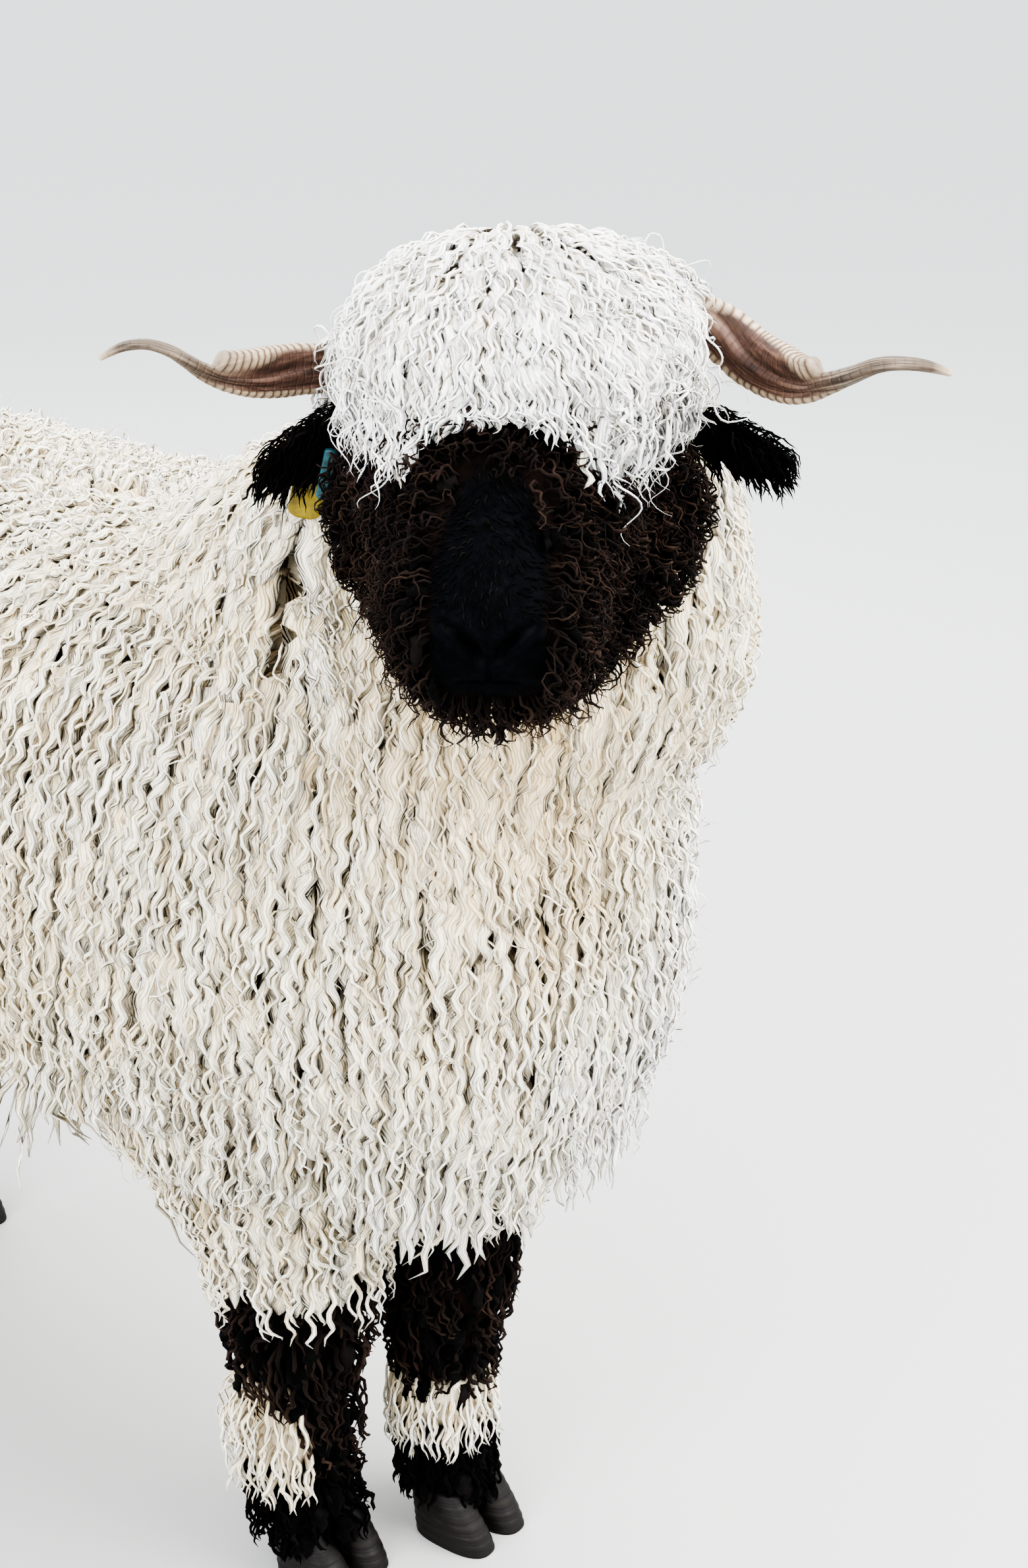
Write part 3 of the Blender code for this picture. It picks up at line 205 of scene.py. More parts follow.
# Stations of a foreleg above its hoof: height, offset back, half width, half length
FORELEG = (
    (HOOF_TOP, 0.004, 0.030, 0.031), (FOOT_TOP, 0.012, 0.030, 0.031), (SHANK_TOP, 0.010, 0.034, 0.036),
    (0.185, 0.006, 0.040, 0.041), (0.225, 0.005, 0.040, 0.042), (KNEE_TOP, 0.006, 0.040, 0.044),
    (0.320, 0.020, 0.058, 0.074), (0.400, 0.030, 0.080, 0.104), (LEG_ROOT, 0.034, 0.090, 0.112),
)
HINDLEG = (
    (HOOF_TOP, 0.004, 0.025, 0.028), (FOOT_TOP, 0.016, 0.027, 0.029), (SHANK_TOP, 0.026, 0.028, 0.032),
    (0.220, 0.038, 0.031, 0.039), (0.268, 0.046, 0.036, 0.051), (HOCK_TOP, 0.038, 0.044, 0.062),
    (0.370, -0.004, 0.073, 0.103), (0.440, -0.030, 0.093, 0.133), (LEG_ROOT, -0.045, 0.098, 0.138),
)
LEGS = {
    "foreleg_right": (FORE_RIGHT, FORELEG, KNEE_TOP),
    "foreleg_left": (FORE_LEFT, FORELEG, KNEE_TOP),
    "hindleg_right": (HIND_RIGHT, HINDLEG, HOCK_TOP),
    "hindleg_left": (HIND_LEFT, HINDLEG, HOCK_TOP),
}
TAIL = ((0, 0.425, 0.650), (0, 0.468, 0.632), (0, 0.497, 0.570), (0, 0.500, 0.480), (0, 0.494, 0.400))
TAIL_R = (0.024, 0.027, 0.027, 0.023, 0.012)
SIDES = {"left": 1, "right": -1}


# ---------------------------------------------------------------- lofts
def bulge(value, power):
    return math.copysign(abs(value) ** (2 / power), value)


def curve_through(rows, steps):
    """Catmull-Rom values through rows of numbers, with `steps` stretches between two rows."""
    rows = np.array(rows, float)
    made = []
    for i in range(len(rows) - 1):
        before, start, end = rows[max(i - 1, 0)], rows[i], rows[i + 1]
        after = rows[min(i + 2, len(rows) - 1)]
        for t in np.arange(steps) / steps:
            weights = ((-t + 2 * t**2 - t**3) / 2, (2 - 5 * t**2 + 3 * t**3) / 2,
                       (t + 4 * t**2 - 3 * t**3) / 2, (-t**2 + t**3) / 2)
            made.append(sum(w * v for w, v in zip(weights, (before, start, end, after))))
    made.append(rows[-1])
    return made


def heading(points, index):
    """Which way a line of points runs past one of them."""
    return Vector((points[min(index + 1, len(points) - 1)] - points[max(index - 1, 0)])[:3]).normalized()


def add_rings(shape, rows):
    """Rows of new vertices in a bmesh, with quads between them."""
    rows = [[shape.verts.new(point) for point in row] for row in rows]
    for lower, upper in zip(rows, rows[1:]):
        for k in range(len(lower)):
            near = (k + 1) % len(lower)
            shape.faces.new((lower[k], lower[near], upper[near], upper[k]))
    return rows


def loft(sections, sides):
    """A closed bmesh through sections (centre, across, up, power, bend), with a fan at each end."""
    shape = bmesh.new()
    angles = [2 * math.pi * k / sides for k in range(sides)]
    rows = []
    for centre, across, up, power, bend in sections:
        rim = [(bulge(math.cos(angle), power), bulge(math.sin(angle), power)) for angle in angles]
        rows.append([centre + across * x + up * y + bend * (x * across.length) ** 2 for x, y in rim])
    rows = add_rings(shape, rows)
    for row, end in ((rows[0], sections[0]), (rows[-1], sections[-1])):
        middle = shape.verts.new(end[0])
        for k in range(sides):
            shape.faces.new((middle, row[k], row[(k + 1) % sides]))
    bmesh.ops.recalc_face_normals(shape, faces=shape.faces)
    return shape


def linked(name, shape, smooth=True):
    """An object in the row frame from a bmesh in the sheep's frame."""
    mesh = bpy.data.meshes.new(name)
    shape.to_mesh(mesh)
    shape.free()
    mesh.transform(Matrix.Translation(SHIFT))
    if smooth:
        mesh.shade_smooth()
    made = bpy.data.objects.new(name, mesh)
    bpy.context.scene.collection.objects.link(made)
    return made


def dress(piece, material, slot_name, *nodes):
    piece.data.materials.clear()
    piece.data.materials.append(material)
    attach(piece, "root")
    if nodes:
        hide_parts(*nodes)


def section(centre, across, up, power=2.0, bend=Vector()):
    return Vector(centre), Vector(across), Vector(up), power, Vector(bend)


def in_head(point):
    return HEAD_FRAME @ Vector(point)


def head_way(direction):
    return HEAD_FRAME.to_3x3() @ Vector(direction)


def head_section(centre, across, up, power=2.0, bend=Vector()):
    return in_head(centre), head_way(across), head_way(up), power, head_way(bend)


def mirrored(point, sign):
    return Vector((point[0] * sign, point[1], point[2]))


def torso_loft():
    return loft([
        section((0, y, (top + bottom) / 2), (half, 0, 0), (0, 0, (top - bottom) / 2), 2.6)
        for y, top, bottom, half in curve_through(TORSO, 3)
    ], 48)


def neck_loft():
    rows = curve_through(NECK, 4)
    made = []
    for index, row in enumerate(rows):
        along = heading(rows, index)
        across = (LEFT - along * LEFT.dot(along)).normalized()
        made.append(section(row[:3], across * row[3], along.cross(across) * row[4]))
    return loft(made, 40)


def head_loft(stations, sides, power, aside=0.0):
    return loft([
        head_section((aside, y, (top + bottom) / 2), (half, 0, 0), (0, 0, (top - bottom) / 2), power)
        for y, half, top, bottom in curve_through(stations, 5)
    ], sides)


def tube(points, radii, sides, flat=1.0, aim=UP):
    rows = curve_through([[*p, r] for p, r in zip(points, radii)], 4)
    made = []
    for index, row in enumerate(rows):
        along = heading(rows, index)
        across = along.cross(aim).normalized()
        made.append(section(row[:3], across * row[3], across.cross(along) * row[3] * flat))
    return loft(made, sides)


def ball_loft(centre, radius, axis, stretch):
    along = Vector(axis).normalized()
    across = (Vector((0, 1, 0)) - along * along.y).normalized()
    up = along.cross(across)
    made = []
    for k in range(17):
        angle = math.pi * (0.02 + 0.96 * k / 16)
        size = math.sin(angle) * radius
        middle = Vector(centre) - along * math.cos(angle) * radius
        made.append(head_section(middle, across * size * stretch, up * size))
    return loft(made, 32)


def ear_loft(sign):
    root, tip = mirrored(EAR_ROOT, sign), EAR_TIP[sign]
    along = (tip - root).normalized()
    face = mirrored(EAR_FACE, sign)
    face = (face - along * face.dot(along)).normalized()
    across = along.cross(face)
    made = []
    for s, wide in curve_through(EAR_SHAPE, 4):
        half = EAR_HALF_WIDTH * wide
        thick = EAR_HALF_THICK * (0.5 + 0.5 * wide)
        middle = root.lerp(tip, s) - face * EAR_CUP * half / 2
        made.append(head_section(middle, across * half, face * thick, 2.0, face * EAR_CUP / half))
    return loft(made, 28)


def horn_base(sign):
    """The woolly root of a horn, which the bare horn comes out of."""
    rows = HORN[sign][:HORN_BARE[sign] + 1]
    sizes = HORN_ROOT[:len(rows) - 1] + HORN_ROOT[-1:]
    radii = [row[3] * k for row, k in zip(rows, sizes)]
    return tube([in_head(mirrored(row, sign)) for row in rows], radii, 24)


def leg_loft(foot, stations):
    made = []
    for z, back, half, length in curve_through(stations, 4):
        x = foot.x * (1 + LEG_LEAN * z / LEG_ROOT)
        made.append(section((x, foot.y + back, z), (half, 0, 0), (0, length, 0), 2.1))
    return loft(made, 28)


# ---------------------------------------------------------------- the skin
VOXEL = 0.0036
FACE_MIDDLE = (0, -0.03, 0)          # in the head's frame; beyond the reach the skin is made coarser
FACE_REACH = 0.185
REFINED = (0.016, 0.010)             # how near to the face's features the skin is made finer, in two steps
CARVED_REACH = 0.22
GUIDE_OUT = 0.018                    # how far outside the flesh the fleece's guide lies
GUIDE_VOXEL = 0.009
FORMS = {
    "torso": [torso_loft],
    "neck": [neck_loft],
    "tail": [lambda: tube(TAIL, TAIL_R, 20, 0.8, LEFT)],
    "skull": [
        lambda: head_loft(HEAD, 40, 2.25), lambda: head_loft(BEARD, 36, 2.1, BEARD_SHIFT),
        lambda: ball_loft(EYE_AT, LID_R, EYE_SIGHT, 1.12),
        lambda: ball_loft(mirrored(EYE_AT, -1), LID_R, mirrored(EYE_SIGHT, -1), 1.12),
    ],
    "cap": [lambda: head_loft(CAP, 36, 2.2, CAP_SHIFT), lambda: horn_base(1), lambda: horn_base(-1)],
    "ear_left": [lambda: ear_loft(1)],
    "ear_right": [lambda: ear_loft(-1)],
}
for leg_name, (leg_foot, leg_stations, _) in LEGS.items():
    FORMS[leg_name] = [lambda foot=leg_foot, stations=leg_stations: leg_loft(foot, stations)]
FORM = {name: index for index, name in enumerate(FORMS)}
HEAD_FORMS = ("skull", "cap", "ear_left", "ear_right")


def applied(thing):
    """Puts an object's modifiers into its mesh."""
    graph = bpy.context.evaluated_depsgraph_get()
    made = bpy.data.meshes.new_from_object(thing.evaluated_get(graph))
    thing.modifiers.clear()
    old = thing.data
    thing.data = made
    bpy.data.meshes.remove(old)


def pour(shape, into):
    """Adds a bmesh to another one and frees it."""
    scratch = bpy.data.meshes.new("scratch")
    shape.to_mesh(scratch)
    into.from_mesh(scratch)
    shape.free()
    bpy.data.meshes.remove(scratch)


def evened(shape, size):
    """A bmesh as an object whose surface is made anew from voxels."""
    made = linked("evened", shape)
    remesh = made.modifiers.new("remesh", "REMESH")
    remesh.mode = "VOXEL"
    remesh.voxel_size = size
    applied(made)
    return made


def taken_back(thing):
    """An object's mesh as a bmesh in the sheep's frame. The object goes."""
    shape = bmesh.new()
    shape.from_mesh(thing.data)
    bmesh.ops.transform(shape, matrix=Matrix.Translation(-SHIFT), verts=shape.verts)
    old = thing.data
    bpy.data.objects.remove(thing)
    bpy.data.meshes.remove(old)
    return shape


def smooth(shape, verts, times):
    for _ in range(times):
        bmesh.ops.smooth_vert(
            shape, verts=verts, factor=0.5, use_axis_x=True, use_axis_y=True, use_axis_z=True,
        )


def read(items, key, width, kind=np.float32):
    """One attribute of all items of a collection, as rows of numbers."""
    flat = np.empty(len(items) * width, kind)
    items.foreach_get(key, flat)
    return flat.reshape(-1, width)


def store(mesh, numbers):
    """Numbers on a mesh's points, one attribute for each key."""
    for key, values in numbers.items():
        flat = np.asarray(values, np.float32).ravel()
        mesh.attributes.new(key, "FLOAT", "POINT").data.foreach_set("value", flat)


def vertices_of(mesh):
    return read(mesh.vertices, "co", 3).astype(float) - np.array(SHIFT)


def head_local(points):
    """Points of the sheep's frame in the head's frame."""
    back = np.array(HEAD_FRAME.inverted())
    return points @ back[:3, :3].T + back[:3, 3]


def segment_distance(points, line):
    """How far each point is from a line of points, and how far along it the nearest place is, from 0 to 1."""
    line = np.array(line, float)
    best = np.full(len(points), 9.0)
    share = np.zeros(len(points))
    for index, (start, end) in enumerate(zip(line, line[1:])):
        way = end - start
        t = np.clip((points - start) @ way / (way @ way), 0, 1)
        distance = np.linalg.norm(points - start - t[:, None] * way, axis=1)
        nearer = distance < best
        best = np.where(nearer, distance, best)
        share = np.where(nearer, (index + t) / (len(line) - 1), share)
    return best, share


def sight_axes(sign):
    sight = mirrored(EYE_SIGHT, sign).normalized()
    across = (Vector((0, 1, 0)) - sight * sight.y).normalized()
    return sight, across, sight.cross(across)


def smoothstep(low, high, value):
    t = np.clip((value - low) / (high - low), 0, 1)
    return t * t * (3 - 2 * t)


def refine(shape, reach):
    """Splits every face whose middle is within reach of an eye, a nostril or the mouth."""
    centres = np.array([f.calc_center_median() for f in shape.faces])
    picked = near_features(head_local(centres), reach)
    edges = {edge for face, hit in zip(shape.faces, picked) if hit for edge in face.edges}
    bmesh.ops.subdivide_edges(shape, edges=list(edges), cuts=1, use_grid_fill=True)


def folded(points):
    """Points of the head with the right half laid over the left one."""
    return np.hstack((np.abs(points[:, :1]), points[:, 1:]))


def near_features(points, reach):
    """Which points of the head lie near an eye, a nostril or the mouth."""
    points = folded(points)
    eye = np.linalg.norm(points - np.array(EYE_AT), axis=1) < reach + EYE_ROOM
    nostril = segment_distance(points, NOSTRIL)[0] < reach
    return eye | nostril | (segment_distance(points, MOUTH)[0] < reach * 0.8)


def hump(distance, height, middle, width):
    """A rise (or, with less than no height, a hollow) at some distance from a line."""
    return height * np.exp(-((distance - middle) / width) ** 2)


def carve_features(points, normals):
    """Nostrils, mouth and lips, the groove between the nostrils and the open lids, on the head's points."""
    slit, along = segment_distance(folded(points), NOSTRIL)
    depth = NOSTRIL_DEPTH * np.sin(math.pi * np.clip(0.12 + 0.8 * along, 0, 1))
    move = hump(slit, -depth, 0, 0.0024) + hump(slit, 0.0018, 0.0058, 0.0026)
    mouth, along = segment_distance(folded(points), MOUTH)
    front = smoothstep(0.0, 0.35, along)
    move += hump(mouth, -MOUTH_DEPTH, 0, 0.0014) * (0.5 + 0.5 * front)
    move += hump(mouth, LIP_HEIGHT, 0.0062, 0.0035) * front
    groove = hump(points[:, 0], -GROOVE_DEPTH, 0, 0.0012) * (points[:, 1] < -0.150) * (points[:, 2] > -0.026)
    move += groove * smoothstep(0.0, -0.010, points[:, 2])
    moved = points + normals * move[:, None]
    for sign in (1, -1):
        sight, across, up = (np.array(axis) for axis in sight_axes(sign))
        centre = np.array(mirrored(EYE_AT, sign))
        away = moved - centre
        distance = np.linalg.norm(away, axis=1)
        near = (distance < 0.024) & (away @ sight > 0.002)
        x, y = away @ across / LID_OPENING[0], away @ up / LID_OPENING[1]
        almond = np.abs(x) ** 1.6 + np.abs(y) ** 1.6
        lid = smoothstep(0.85, 1.12, almond)
        radius = (EYE_R - SOCKET) * (1 - lid) + (LID_R - 0.0002 + hump(almond, LID_RIM, 1.35, 0.25)) * lid
        fade = smoothstep(0.0235, 0.0185, distance)
        wanted = distance * (1 - fade) + radius * fade
        wanted = np.where(almond < 1.12, radius, wanted)
        moved = np.where(near[:, None], centre + away / distance[:, None] * wanted[:, None], moved)
    return moved


def merged_forms(names, each):
    """One bmesh of all the forms' parts, after `each` has worked on every part."""
    merged = bmesh.new()
    for name in names:
        for make in FORMS[name]:
            shape = make()
            each(name, shape)
            pour(shape, merged)
    return merged


def build_skin():
    """One mesh for all flesh: the forms are merged, evened out, refined at the face and carved there."""
    trees = []

    def keep_tree(name, shape):
        bmesh.ops.triangulate(shape, faces=shape.faces)
        trees.append((FORM[name], BVHTree.FromBMesh(shape)))

    skin = evened(merged_forms(FORMS, keep_tree), VOXEL)
    places = head_local(vertices_of(skin.data))
    coarse = np.linalg.norm(places - np.array(FACE_MIDDLE), axis=1) > FACE_REACH
    group = skin.vertex_groups.new(name="coarse")
    group.add([int(i) for i in np.nonzero(coarse)[0]], 1.0, "REPLACE")
    thin = skin.modifiers.new("thin", "DECIMATE")
    thin.ratio = 0.45
    thin.vertex_group = "coarse"
    applied(skin)
    skin.vertex_groups.clear()
    shape = taken_back(skin)
    smooth(shape, shape.verts, 3)
    for reach in REFINED:
        refine(shape, reach)
    bmesh.ops.triangulate(shape, faces=shape.faces)
    close = [v for v in shape.verts if (v.co - HEAD_AT).length < CARVED_REACH]
    smooth(shape, close, 2)
    shape.normal_update()
    points = head_local(np.array([v.co for v in close]))
    moved = carve_features(points, np.array([v.normal for v in close]) @ HEAD_TURNED)
    for vertex, place in zip(close, moved @ HEAD_TURNED.T + np.array(HEAD_AT)):
        vertex.co = place
    return linked("sheep_skin", shape), trees


def wool_guide():
    """The body's forms made fatter, with the creases between them filled: what the fleece lies along."""
    def fatten(name, shape):
        bmesh.ops.recalc_face_normals(shape, faces=shape.faces)
        shape.normal_update()
        for vertex in shape.verts:
            vertex.co += vertex.normal * GUIDE_OUT

    body = [name for name in FORMS if name not in HEAD_FORMS]
    shape = taken_back(evened(merged_forms(body, fatten), GUIDE_VOXEL))
    smooth(shape, shape.verts, 10)
    bmesh.ops.triangulate(shape, faces=shape.faces)
    tree = BVHTree.FromBMesh(shape)
    shape.free()
    return tree


NEIGHBOURS = list(itertools.product((-1, 0, 1), repeat=3))


class Ground:
    """The skin as what the coat grows on."""

    def __init__(self, thing, trees):
        mesh = thing.data
        mesh.calc_loop_triangles()
        self.points = vertices_of(mesh)
        self.faces = read(mesh.loop_triangles, "vertices", 3, np.int32)
        loops = read(mesh.loop_triangles, "loops", 3, np.int32)
        self.uv = read(mesh.uv_layers["OFBake"].data, "uv", 2)[loops]
        a, b, c = (self.points[self.faces[:, k]] for k in range(3))
        cross = np.cross(b - a, c - a)
        size = np.linalg.norm(cross, axis=1)
        self.areas = size / 2
        self.ways = cross / np.maximum(size, 1e-12)[:, None]
        self.middles = (a + b + c) / 3
        self.form = self.nearest_form(self.points, trees)
        self.face_form = self.form[self.faces[:, 0]]
        head = np.isin(self.face_form, [FORM[name] for name in HEAD_FORMS])
        self.trees = {
            group: BVHTree.FromPolygons(self.points.tolist(), self.faces[picked].tolist())
            for group, picked in (("head", head), ("body", ~head))
        }
        self.trees["wool"] = wool_guide()

    @staticmethod
    def nearest_form(points, trees):
        """Which form each point of the skin came from."""
        found = np.zeros(len(points), int)
        for index, point in enumerate(map(Vector, points)):
            best = 9.0
            for form, tree in trees:
                spot, _, _, distance = tree.find_nearest(point, best)
                if spot is not None and distance < best:
                    best = distance
                    found[index] = form
        return found

    def above(self, places, group):
        """How high places are over the head's or body's skin or the fleece's guide, and the way out there."""
        inside = GUIDE_OUT if group == "wool" else 0.0
        heights = np.empty(len(places))
        ways = np.empty((len(places), 3))
        for index, place in enumerate(places):
            spot, way, _, _ = self.trees[group].find_nearest(Vector(place))
            away = place - np.array(spot)
            distance = math.sqrt(away @ away)
            out = np.array(way)
            under = away @ out < 0
            heights[index] = inside + (-distance if under else distance)
            if distance > 0.003:
                out = away / distance * (-1 if under else 1)
            ways[index] = out
        return heights, ways

    def scatter(self, spacing, seed, keep):
        """Places at least `spacing` apart where `keep` says so: place, way out and UV."""
        rng = np.random.default_rng(seed)
        picked = np.nonzero(keep(facts(self.middles, self.ways, self.face_form)))[0]
        areas = self.areas[picked]
        count = int(5 * areas.sum() / spacing**2)
        face = picked[rng.choice(len(picked), count, p=areas / areas.sum())]
        near, far = np.sort(rng.random((2, count)), axis=0)
        weights = np.stack((near, far - near, 1 - far), 1)
        corners = self.points[self.faces[face]]
        places = (corners * weights[:, :, None]).sum(1)
        uv = (self.uv[face] * weights[:, :, None]).sum(1)
        taken = {}
        chosen = []
        cells = np.floor(places / spacing).astype(int).tolist()
        for index, ((i, j, k), place) in enumerate(zip(cells, places)):
            gaps = (place - other for x, y, z in NEIGHBOURS for other in taken.get((i + x, j + y, k + z), ()))
            if all(gap @ gap >= spacing * spacing for gap in gaps):
                taken.setdefault((i, j, k), []).append(place)
                chosen.append(index)
        chosen = np.array(chosen, int)
        return places[chosen], self.ways[face[chosen]], uv[chosen]


# ---------------------------------------------------------------- locks
CLIMB = 2.2                          # how fast a lock rises to its full height over the skin
LEADERS = 0.12                       # how many of the locks draw their neighbours to them
SHORTEST = 0.012
FRINGED = (0.54, 0.40)               # the heights between which the fleece grows longer


def unit(vectors):
    return vectors / np.maximum(np.linalg.norm(vectors, axis=-1, keepdims=True), 1e-9)


def field(places, scale, seed):
    """Smooth noise from -1 to 1 over places."""
    offset = Vector((seed * 7.31, seed * 3.17, seed * 5.93))
    return np.array([noise.noise(Vector(p) * scale + offset) for p in places])


def horn_axes():
    """Points along both horns' free lengths, with the distance that wool keeps from each."""
    made = []
    for sign in (1, -1):
        for row in curve_through(HORN[sign][HORN_BARE[sign]:], 4):
            made.append([*in_head(mirrored(row, sign)), row[3] * 0.80 + 0.001])
    return np.array(made)


HORN_AXES = horn_axes()


def in_horns(places):
    """Which places lie within a horn's reach."""
    distance = np.linalg.norm(places[:, None, :] - HORN_AXES[None, :, :3], axis=2)
    return (distance < HORN_AXES[None, :, 3]).any(axis=1)


def settle_paths(ground, roots, outs, lies, lengths, lifts, style):
    """The middles of locks before they wave: each bends over at its root, then follows the skin or falls."""
    forward = unit(lies - outs * (lies * outs).sum(1)[:, None])
    place = roots
    path = [roots - outs * style["sink"]]
    ways = [outs]
    shares = np.linspace(0, 1, style["rings"])
    for before, share in zip(shares, shares[1:]):
        step = share - before
        droop = style["droop"] * step * 4
        forward = unit(forward * (1 - droop) + DOWN * droop)
        place = place + forward * (lengths * step)[:, None]
        height, way = ground.above(place, style["group"])
        wanted = lifts * min(1.0, style["start"] + share * CLIMB)
        settle = (height < wanted) | (way[:, 2] > style["hang"])
        move = np.clip(wanted - height, -0.7 * lengths * step, 2.5 * lengths * step)
        place = place + way * np.where(settle, move, 0.0)[:, None]
        path.append(place)
        ways.append(way)
    return np.stack(path, 1), np.stack(ways, 1), shares


def fallen(places):
    """How far down the body a place is: the beat of the wool's waves."""
    return np.abs(places[:, 0]) * 0.9 - places[:, 2]


def from_crown(places):
    return np.linalg.norm(places - np.array(in_head(CROWN)), axis=1)


def gather(path, roots, shares, style, rng):
    """Draws each lock towards a leader near its root, more so towards the tips."""
    leaders = np.nonzero(rng.random(len(roots)) < LEADERS)[0]
    if not len(leaders) or not style["gather"]:
        return path
    nearest = np.empty(len(roots), int)
    for index, root in enumerate(roots):
        gap = roots[leaders] - root
        nearest[index] = leaders[np.argmin((gap * gap).sum(1))]
    pull = style["gather"] * shares**1.4
    return path + (path[nearest] - path) * pull[None, :, None]


def tangents(path):
    """Which way each lock runs at each ring."""
    along = np.empty_like(path)
    along[:, 1:-1] = path[:, 2:] - path[:, :-2]
    along[:, 0] = path[:, 1] - path[:, 0]
    along[:, -1] = path[:, -1] - path[:, -2]
    return unit(along)


def grow(ground, spot, lies, style, seed, hem, raised):
    """Locks on the scattered places: their rings' middles, half axes and facts."""
    roots, outs, uv = spot
    count = len(roots)
    rng = np.random.default_rng(seed)
    lengths = style["length"] * rng.uniform(0.8, 1.15, count)
    reach = 1 + style["fringe"] * smoothstep(*FRINGED, roots[:, 2])
    lengths = lengths * reach
    if hem is not None:
        room = (roots[:, 2] - hem) * rng.uniform(0.92, 1.12, count)
        lengths = np.minimum(lengths, np.maximum(room, SHORTEST))
    depth = rng.random(count)
    lifts = style["lift"] * (style["deep"] + (1 - style["deep"]) * depth) * raised
    lies = unit(lies) + rng.normal(0, style["stray"], (count, 3))
    path, ways, shares = settle_paths(ground, roots, outs, lies, lengths, lifts, style)
    if style["horns"]:
        met = np.stack([in_horns(path[:, k]) for k in range(len(shares))], 1)
        free = shares[np.maximum(np.argmax(met, axis=1) - 1, 0)]
        lengths = np.where(met.any(axis=1), lengths * np.maximum(free, 0.05), lengths)
        path, ways, shares = settle_paths(ground, roots, outs, lies, lengths, lifts, style)
    path = gather(path, roots, shares, style, rng)
    along = tangents(path)
    side = unit(np.cross(ways, along))
    up = np.cross(along, side)
    wave = style["wave"] * rng.uniform(0.5, 1.35, count)
    wavelength = style["wavelength"] * np.sqrt(reach)
    waves = lengths / (wavelength * rng.uniform(0.9, 1.12, count))
    beat = style["beat"](roots) / wavelength * 2 * math.pi
    start = beat + field(roots, 11, 3) * 2.5 + rng.normal(0, style["unrest"], count)
    angle = start[:, None] + 2 * math.pi * waves[:, None] * shares[None, :]
    handed = np.where(rng.random(count) < 0.8, 1, -1)[:, None]
    grown = np.minimum(1, shares * 5)[None, :] * (1 + style["curl"] * shares[None, :] ** 2)
    sway = np.sin(angle) * grown * wave[:, None]
    heave = np.cos(angle) * handed * grown * wave[:, None] * style["coil"]
    path = path + side * sway[:, :, None] + up * heave[:, :, None]
    if "flick" in style:
        flick = rng.uniform(0.2, 1.0, count)[:, None] * style["flick"] * shares[None, :] ** 4
        path = path + up * flick[:, :, None]
    along = tangents(path)
    side = unit(side - along * (side * along).sum(2)[:, :, None])
    width = style["width"] * rng.uniform(0.7, 1.3, count)
    body = width[:, None] * np.interp(shares, *np.array(style["shape"]).T)[None, :]
    across = side * (body / 2)[:, :, None]
    thick = np.cross(along, side) * (body * style["thick"] / 2)[:, :, None]
    # depth, times the style's shown, and the cream by place carry painted shade into white_wool's colour
    return dict(
        path=path, across=across, thick=thick, uv=uv, shares=shares, lengths=lengths, width=width,
        phase=angle, tint=rng.random(count), depth=depth * style["shown"], painted_shade=painted_shade_at(roots),
    )


def part_of(locks, picked):
    return {key: value if key == "shares" else value[picked] for key, value in locks.items()}


SECTION = np.array(((0.0, 1.0), (-1.0, -0.55), (1.0, -0.55)))
PATCH = 0.003                        # a lock's share of the bake map, across
CRIMP = 0.10                         # how far the fibres of a lock wave aside, as a share of its width
COAT_LIMIT = 190_000                 # triangles in one coat piece


def lock_mesh(name, locks):
    """One mesh of closed three-sided locks, each with its OFBake patch and its own fibre coordinates."""
    path = locks["path"][:, :, None]
    count, rings = path.shape[:2]
    sides = len(SECTION)
    each = rings * sides
    across, thick = locks["across"][:, :, None], locks["thick"][:, :, None]
    corners = path + across * SECTION[:, :1] + thick * SECTION[:, 1:]
    first = (np.arange(count) * each)[:, None]
    ring = first[:, :, None] + (np.arange(rings - 1) * sides)[:, None]
    k = np.arange(sides)
    near = (k + 1) % sides
    quads = np.stack((ring + k, ring + near, ring + sides + near, ring + sides + k), 3).reshape(-1, 4)
    caps = np.concatenate((first + k[::-1], first + each - sides + k))
    loops = np.concatenate((quads.ravel(), caps.ravel())).astype(np.int32)
    starts = np.concatenate((np.arange(len(quads)) * 4, len(quads) * 4 + np.arange(len(caps)) * sides))
    mesh = bpy.data.meshes.new(name)
    mesh.vertices.add(count * each)
    mesh.vertices.foreach_set("co", (corners + np.array(SHIFT)).astype(np.float32).ravel())
    mesh.loops.add(len(loops))
    mesh.loops.foreach_set("vertex_index", loops)
    mesh.polygons.add(len(starts))
    mesh.polygons.foreach_set("loop_start", starts.astype(np.int32))
    mesh.update(calc_edges=True)
    mesh.shade_smooth()
    one = np.arange(count * each)
    lock_of, ring_of, side_of = one // each, one // sides % rings, one % sides
    share, width = locks["shares"][ring_of], locks["width"][lock_of]
    patch = np.stack((side_of / (sides - 1) - 0.5, share - 0.5), 1) * PATCH
    maps = {
        "OFBake": np.clip(locks["uv"][lock_of] + patch, 0, 1),
        "Fibre": np.stack((SECTION[side_of, 0] * width / 2, share * locks["lengths"][lock_of]), 1),
    }
    for key, places in maps.items():
        mesh.uv_layers.new(name=key).data.foreach_set("uv", places[loops].astype(np.float32).ravel())
    numbers = {key: locks[key][lock_of] for key in ("tint", "depth", "painted_shade")}
    store(mesh, dict(numbers, along=share, phase=locks["phase"][lock_of, ring_of], sway=width * CRIMP))
    made = bpy.data.objects.new(name, mesh)
    bpy.context.scene.collection.objects.link(made)
    return made


